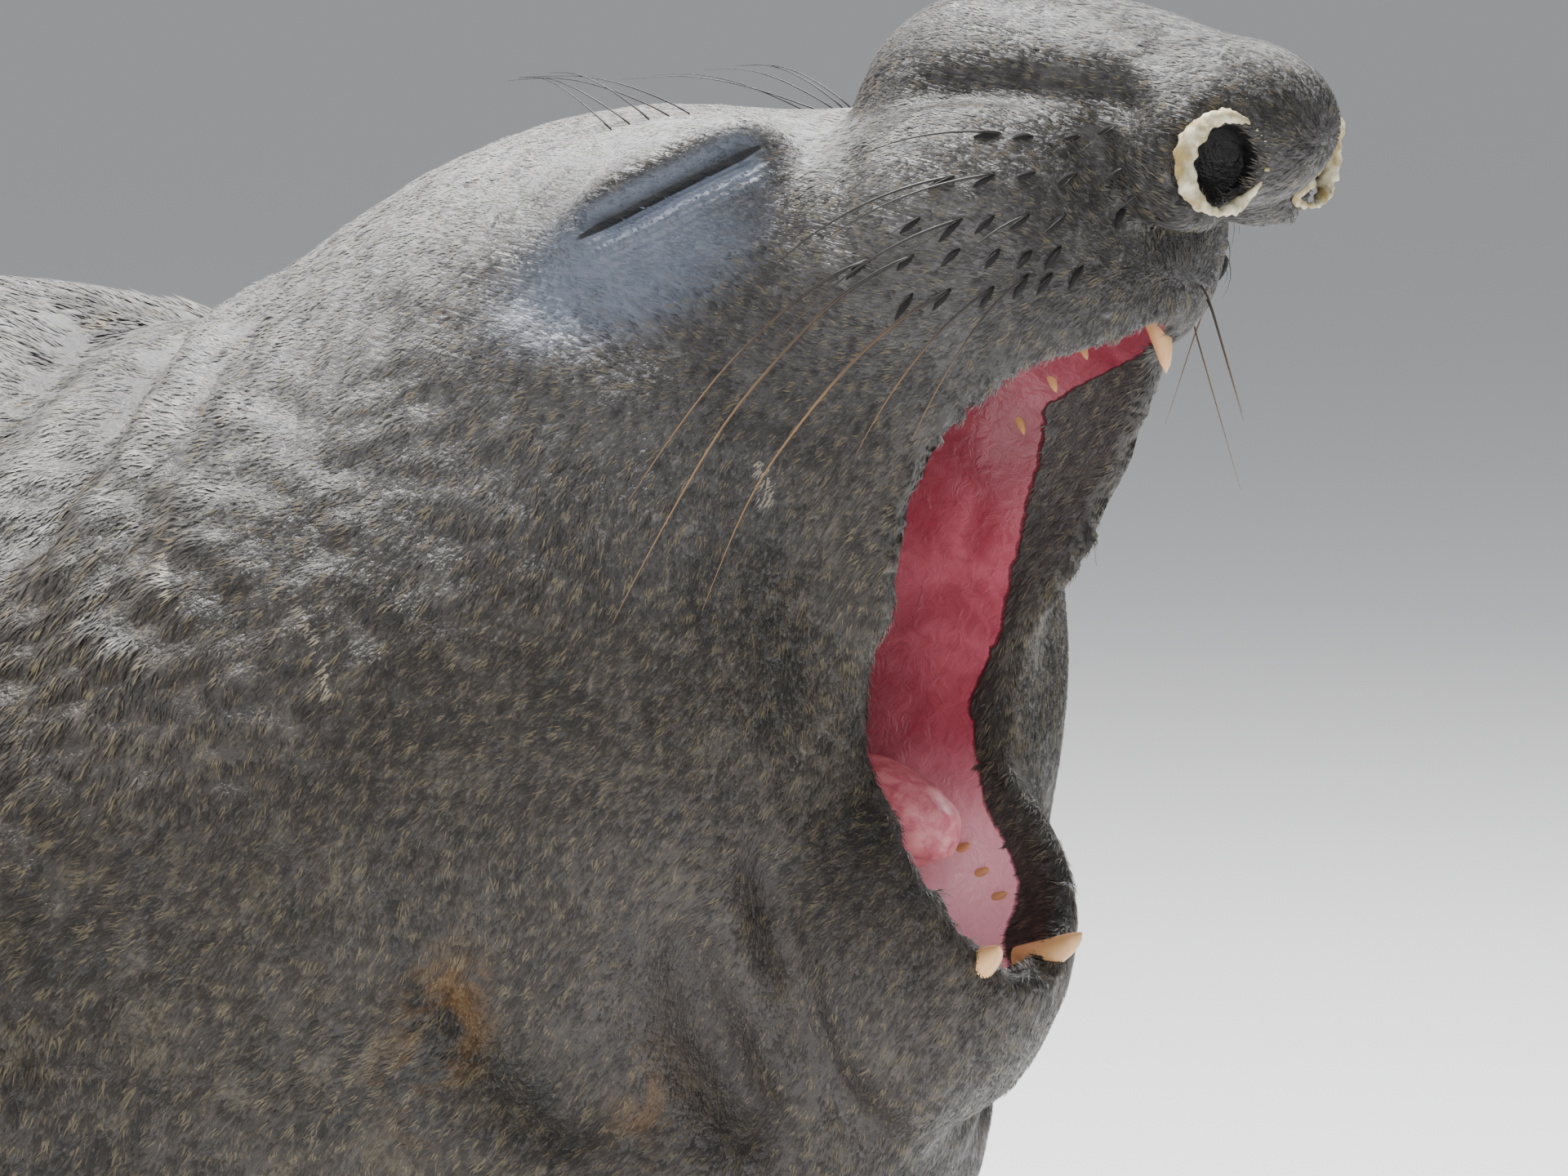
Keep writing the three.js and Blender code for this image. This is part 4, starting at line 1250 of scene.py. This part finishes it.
# Longest whiskers of each side: row and column of the root, length, droop and how far they stand off
LONG_WHISKERS = (
    (0, 3, 62, 0.1, 8), (1, 3, 78, 0.3, 12), (1, 4, 96, 0.5, 12), (2, 4, 88, 0.6, 14), (3, 5, 150, 1.5, 16),
    (3, 6, 118, 1.2, 14), (4, 4, 124, 1.5, 16), (4, 3, 66, 1.3, 12), (4, 2, 58, 1.5, 12), (2, 2, 40, 0.7, 9),
)


def pad_roots():
    """Roots of one side's whiskers, on rows that run back from the nostril."""
    found = []
    for row, count in enumerate(PAD_ROWS):
        for column in range(count):
            across = 138.6 - 16.2 * column - 1.2 * row
            side = min(46 + 6 * column + 8 * row, 90)
            ahead = (across + TURN_SINE * side) / TURN_COSINE
            found.append((ahead, side, 208 - 16.5 * row - 1.0 * column, row, column))
    return np.array(found, float)


def whisker_material(settings):
    """Black at the roots, golden towards the low ends."""
    material = horn_material("whisker", settings.whisker, settings.whisker_tip, 30, 0.3, (1, 1, 1))
    s = Shade(material.node_tree)
    shader = material.node_tree.nodes["Principled BSDF"]
    place = s.place()
    height = s.vector("DOT_PRODUCT", place, (0.0, 0.0, 1.0))
    uneven = s.math("MULTIPLY_ADD", s.noise(place, 30, 2), 0.08, height)
    golden = s.span(uneven, 0.885, 0.80)
    s.put(shader.inputs["Base Color"], s.mix(golden, (*settings.whisker, 1), (*settings.whisker_tip, 1)))
    return material


def pit_lines(side):
    """Short lines that the pits of one side's pad follow."""
    rng = np.random.default_rng(13 + side)
    roots = pad_roots()
    count = len(roots)
    places = roots[:, :3] * (1, side, 1) + rng.normal(0, 1.2, (count, 3))
    way = np.column_stack([
        -0.86 + 0.3 * rng.random(count),
        0.05 * side * np.ones(count),
        -0.22 - 0.12 * roots[:, 3] + 0.1 * rng.random(count),
    ])
    return lying_hairs(places, way, rng.uniform(9, 13, count), np.full(count, 0.3), 4)[:, 1:]


def tapered(line, radius, loss=0.85, power=1.0):
    """A hair's line with a radius that shrinks towards its tip."""
    return line, radius * (1 - loss * np.linspace(0, 1, len(line)) ** power)


class SEAL_OT_whiskers(SealOperator, bpy.types.Operator):
    """Makes the whiskers of the muzzle and the brows, and the pits that they grow from"""

    bl_idname = "seal.whiskers"
    bl_label = "Whiskers"

    def execute(self, context):
        rng = np.random.default_rng(7)
        radius = self.sizes.whisker_width / MM / 2
        paths, pits = [], []
        for side in (-1, 1):
            roots = pad_roots()
            count = len(roots)
            row, column = roots[:, 3], roots[:, 4]
            lines = pit_lines(side)
            places = lines[:, 0]
            for line in lines:
                pits.append((line - outwards(line) * 0.6, np.array([0.5, 1.5, 1.8, 1.3, 0.3])))
            way = np.column_stack([
                -0.8 * np.ones(count), 0.1 * side * np.ones(count), -0.35 - 0.3 * rng.random(count)
            ])
            for line in lying_hairs(places, way, rng.uniform(10, 26, count), np.full(count, 5), 8, 0.3):
                paths.append(tapered(line, radius * 0.4))
            starts = np.vstack([places[(row == r) & (column == c)] for r, c, *_ in LONG_WHISKERS])
            reach, drop, stand = np.array(LONG_WHISKERS, float)[:, 2:].T
            sweep = np.tile((-0.85, 0.10 * side, -0.30), (len(starts), 1))
            long_lines = lying_hairs(starts, sweep, reach, stand, 18, drop)
            for line, size in zip(long_lines, radius * (0.6 + reach / 300)):
                paths.append(tapered(line, size, 0.88, 1.5))
            brows = np.array([(-8 - 8 * i, side * (58 + 6 * i), 222) for i in range(5)], float)
            sweep = np.column_stack([
                -0.93 * np.ones(5), side * (0.1 - 0.12 * np.arange(5)), 0.06 * rng.random(5)
            ])
            for line in lying_hairs(brows, sweep, rng.uniform(50, 105, 5), np.full(5, 24), 12, 0.1):
                paths.append(tapered(line, radius * 0.6))
            if side < 0:
                continue
            front = np.array([(206, side * 20, 140), (204, side * 34, 132), (190, side * 48, 118)], float)
            sweep = np.column_stack([0.25 * np.ones(3), side * 0.15 * np.ones(3), -np.ones(3)])
            for line in lying_hairs(front, sweep, rng.uniform(45, 75, 3), np.full(3, 22), 12, 0.0):
                paths.append(tapered(line, radius * 0.6))
        piece = bristles("whiskers", paths, 1)
        finish_piece(piece, whisker_material(self.colours))
        # The pits are dark pieces sunk just under the skin: painted shade in the hollows that the whiskers
        # grow from
        hollows = bristles("whisker_pits", pits, 1)
        finish_piece(hollows, horn_material("pit", *PIT_SHADE_TONES, 200, 0.8))
        return {"FINISHED"}


def nostril_rim(side, rng):
    """A lumpy dried rim round one nostril."""
    centre, radii, turn, _ = HOLLOWS["nostril"]
    axes = turned(*turn)
    around = np.linspace(0, 2 * math.pi, 64, endpoint=False)
    ring = []
    for angle in around:
        across = axes[:, 1] * math.cos(angle) * (radii[1] + 3.4)
        across += axes[:, 2] * math.sin(angle) * (radii[2] + 3.0)
        start = np.array(centre, float) + across
        steps = start + axes[:, 0] * np.linspace(-40, 40, 41)[:, None]
        depth = filled_body(steps)
        ring.append(steps[np.argmin(np.abs(depth))])
    ring = np.array(ring)
    ring[:, 1] *= side
    behind = np.clip(np.cos(around - 0.35) + 0.25, 0, 1.25)
    uneven = 0.5 * np.sin(2 * around + side) + 0.4 * np.sin(3 * around + 2) + 0.3 * np.sin(5 * around + side)
    thick = 0.6 + 3.4 * behind + 1.4 * np.clip(-np.sin(around), 0, 1)
    thick = np.maximum(thick + uneven + rng.uniform(-0.3, 0.3, len(around)), 0.4)
    return np.vstack([ring, ring[:1]]), np.append(thick, thick[0])


class SEAL_OT_nostrils(SealOperator, bpy.types.Operator):
    """Makes the dried rims of the nostrils"""

    bl_idname = "seal.nostrils"
    bl_label = "Nostril rims"

    def execute(self, context):
        rng = np.random.default_rng(3)
        piece = bristles("nostril_rims", [nostril_rim(side, rng) for side in (-1, 1)], 4)
        remeshed(piece, 0.0012)
        points = to_form(points_of(piece.data))
        lumps = 0.5 * ripple(points, 5, 31) + 0.35 * ripple(points, 2.6, 32)
        set_points(piece.data, to_metres(points + normals_of(piece.data) * lumps[:, None]))
        smooth_shaded(piece.data)
        colours = self.colours
        material = horn_material("crust", colours.crust_dark, colours.crust, 75, 0.6, (1, 1, 1))
        finish_piece(piece, material)
        return {"FINISHED"}


# The floor reaches far enough, in metres, for its edge to lie above the picture
FLOOR_REACH = 400
FLOOR_COLOUR = (0.80, 0.80, 0.80)
SKY_COLOUR = (0.93, 0.96, 1.0)
SKY_STRENGTH = 0.42
# Each light's place from the gape in metres, its size and its power
LIGHTS = {
    "key": ((-1.5, -0.2, 4.4), 2.2, 860),
    "fill": ((2.6, -3.4, 1.4), 2.5, 40),
    "rim": ((-0.4, 3.4, 3.2), 2.5, 220),
}
# The camera's turn and rise in degrees, its distance and the picture's width at the gape in metres
CAMERA = {"turn": 38, "rise": 5, "distance": 3.8, "width": 0.6912}
SENSOR_WIDTH = 36


class SEAL_OT_stage(SealOperator, bpy.types.Operator):
    """Makes the floor, the lights and the camera"""

    bl_idname = "seal.stage"
    bl_label = "Stage"

    def execute(self, context):
        bm = bmesh.new()
        bmesh.ops.create_grid(bm, x_segments=1, y_segments=1, size=FLOOR_REACH)
        mesh = bpy.data.meshes.new("floor")
        bm.to_mesh(mesh)
        bm.free()
        floor = new_object("floor", mesh)
        material, _, shader = new_material("floor")
        shader.inputs["Base Color"].default_value = (*FLOOR_COLOUR, 1)
        shader.inputs["Roughness"].default_value = 0.9
        floor.data.materials.append(material)
        world = bpy.data.worlds.new("studio")
        bpy.context.scene.world = world
        world.use_nodes = True
        world.node_tree.nodes["Background"].inputs[0].default_value = (*SKY_COLOUR, 1)
        world.node_tree.nodes["Background"].inputs[1].default_value = SKY_STRENGTH
        target = Vector(GAPE)
        for name, (place, size, power) in LIGHTS.items():
            light = bpy.data.lights.new(name, "AREA")
            light.size = size
            light.energy = power
            lamp = bpy.data.objects.new(name, light)
            collection().objects.link(lamp)
            lamp.location = target + Vector(place)
            lamp.rotation_euler = (-Vector(place)).to_track_quat("-Z", "Y").to_euler()
        turn, rise = math.radians(CAMERA["turn"]), math.radians(CAMERA["rise"])
        back = Vector((
            math.sin(turn) * math.cos(rise), -math.cos(turn) * math.cos(rise), math.sin(rise)
        ))
        data = bpy.data.cameras.new("camera")
        data.sensor_width = SENSOR_WIDTH
        data.lens = SENSOR_WIDTH * CAMERA["distance"] / CAMERA["width"]
        camera = bpy.data.objects.new("camera", data)
        collection().objects.link(camera)
        camera.location = target + back * CAMERA["distance"]
        camera.rotation_euler = back.to_track_quat("Z", "Y").to_euler()
        bpy.context.scene.camera = camera
        return {"FINISHED"}


class SEAL_PT_panel(bpy.types.Panel):
    """Lists the steps and settings of the model"""

    bl_label = "Elephant Seal"
    bl_idname = "SEAL_PT_panel"
    bl_space_type = "VIEW_3D"
    bl_region_type = "UI"
    bl_category = "Elephant Seal"

    def draw(self, context):
        for step in STEPS:
            self.layout.operator(step.bl_idname)
        for settings in (context.scene.seal_sizes, context.scene.seal_colours):
            for key in settings.bl_rna.properties.keys():
                if key not in ("rna_type", "name"):
                    self.layout.prop(settings, key)


STEPS = (
    SEAL_OT_skin,
    SEAL_OT_flippers,
    SEAL_OT_coat,
    SEAL_OT_tongue,
    SEAL_OT_teeth,
    SEAL_OT_claws,
    SEAL_OT_whiskers,
    SEAL_OT_nostrils,
    SEAL_OT_stage,
)
CLASSES = (SealColours, SealSizes, *STEPS, SEAL_PT_panel)


def register():
    for cls in CLASSES:
        bpy.utils.register_class(cls)
    bpy.types.Scene.seal_colours = bpy.props.PointerProperty(type=SealColours)
    bpy.types.Scene.seal_sizes = bpy.props.PointerProperty(type=SealSizes)


def unregister():
    del bpy.types.Scene.seal_sizes
    del bpy.types.Scene.seal_colours
    for cls in reversed(CLASSES):
        bpy.utils.unregister_class(cls)


def main():
    register()
    for step in STEPS:
        family, name = step.bl_idname.split(".")
        getattr(getattr(bpy.ops, family), name)()


if __name__ == "__main__":
    main()
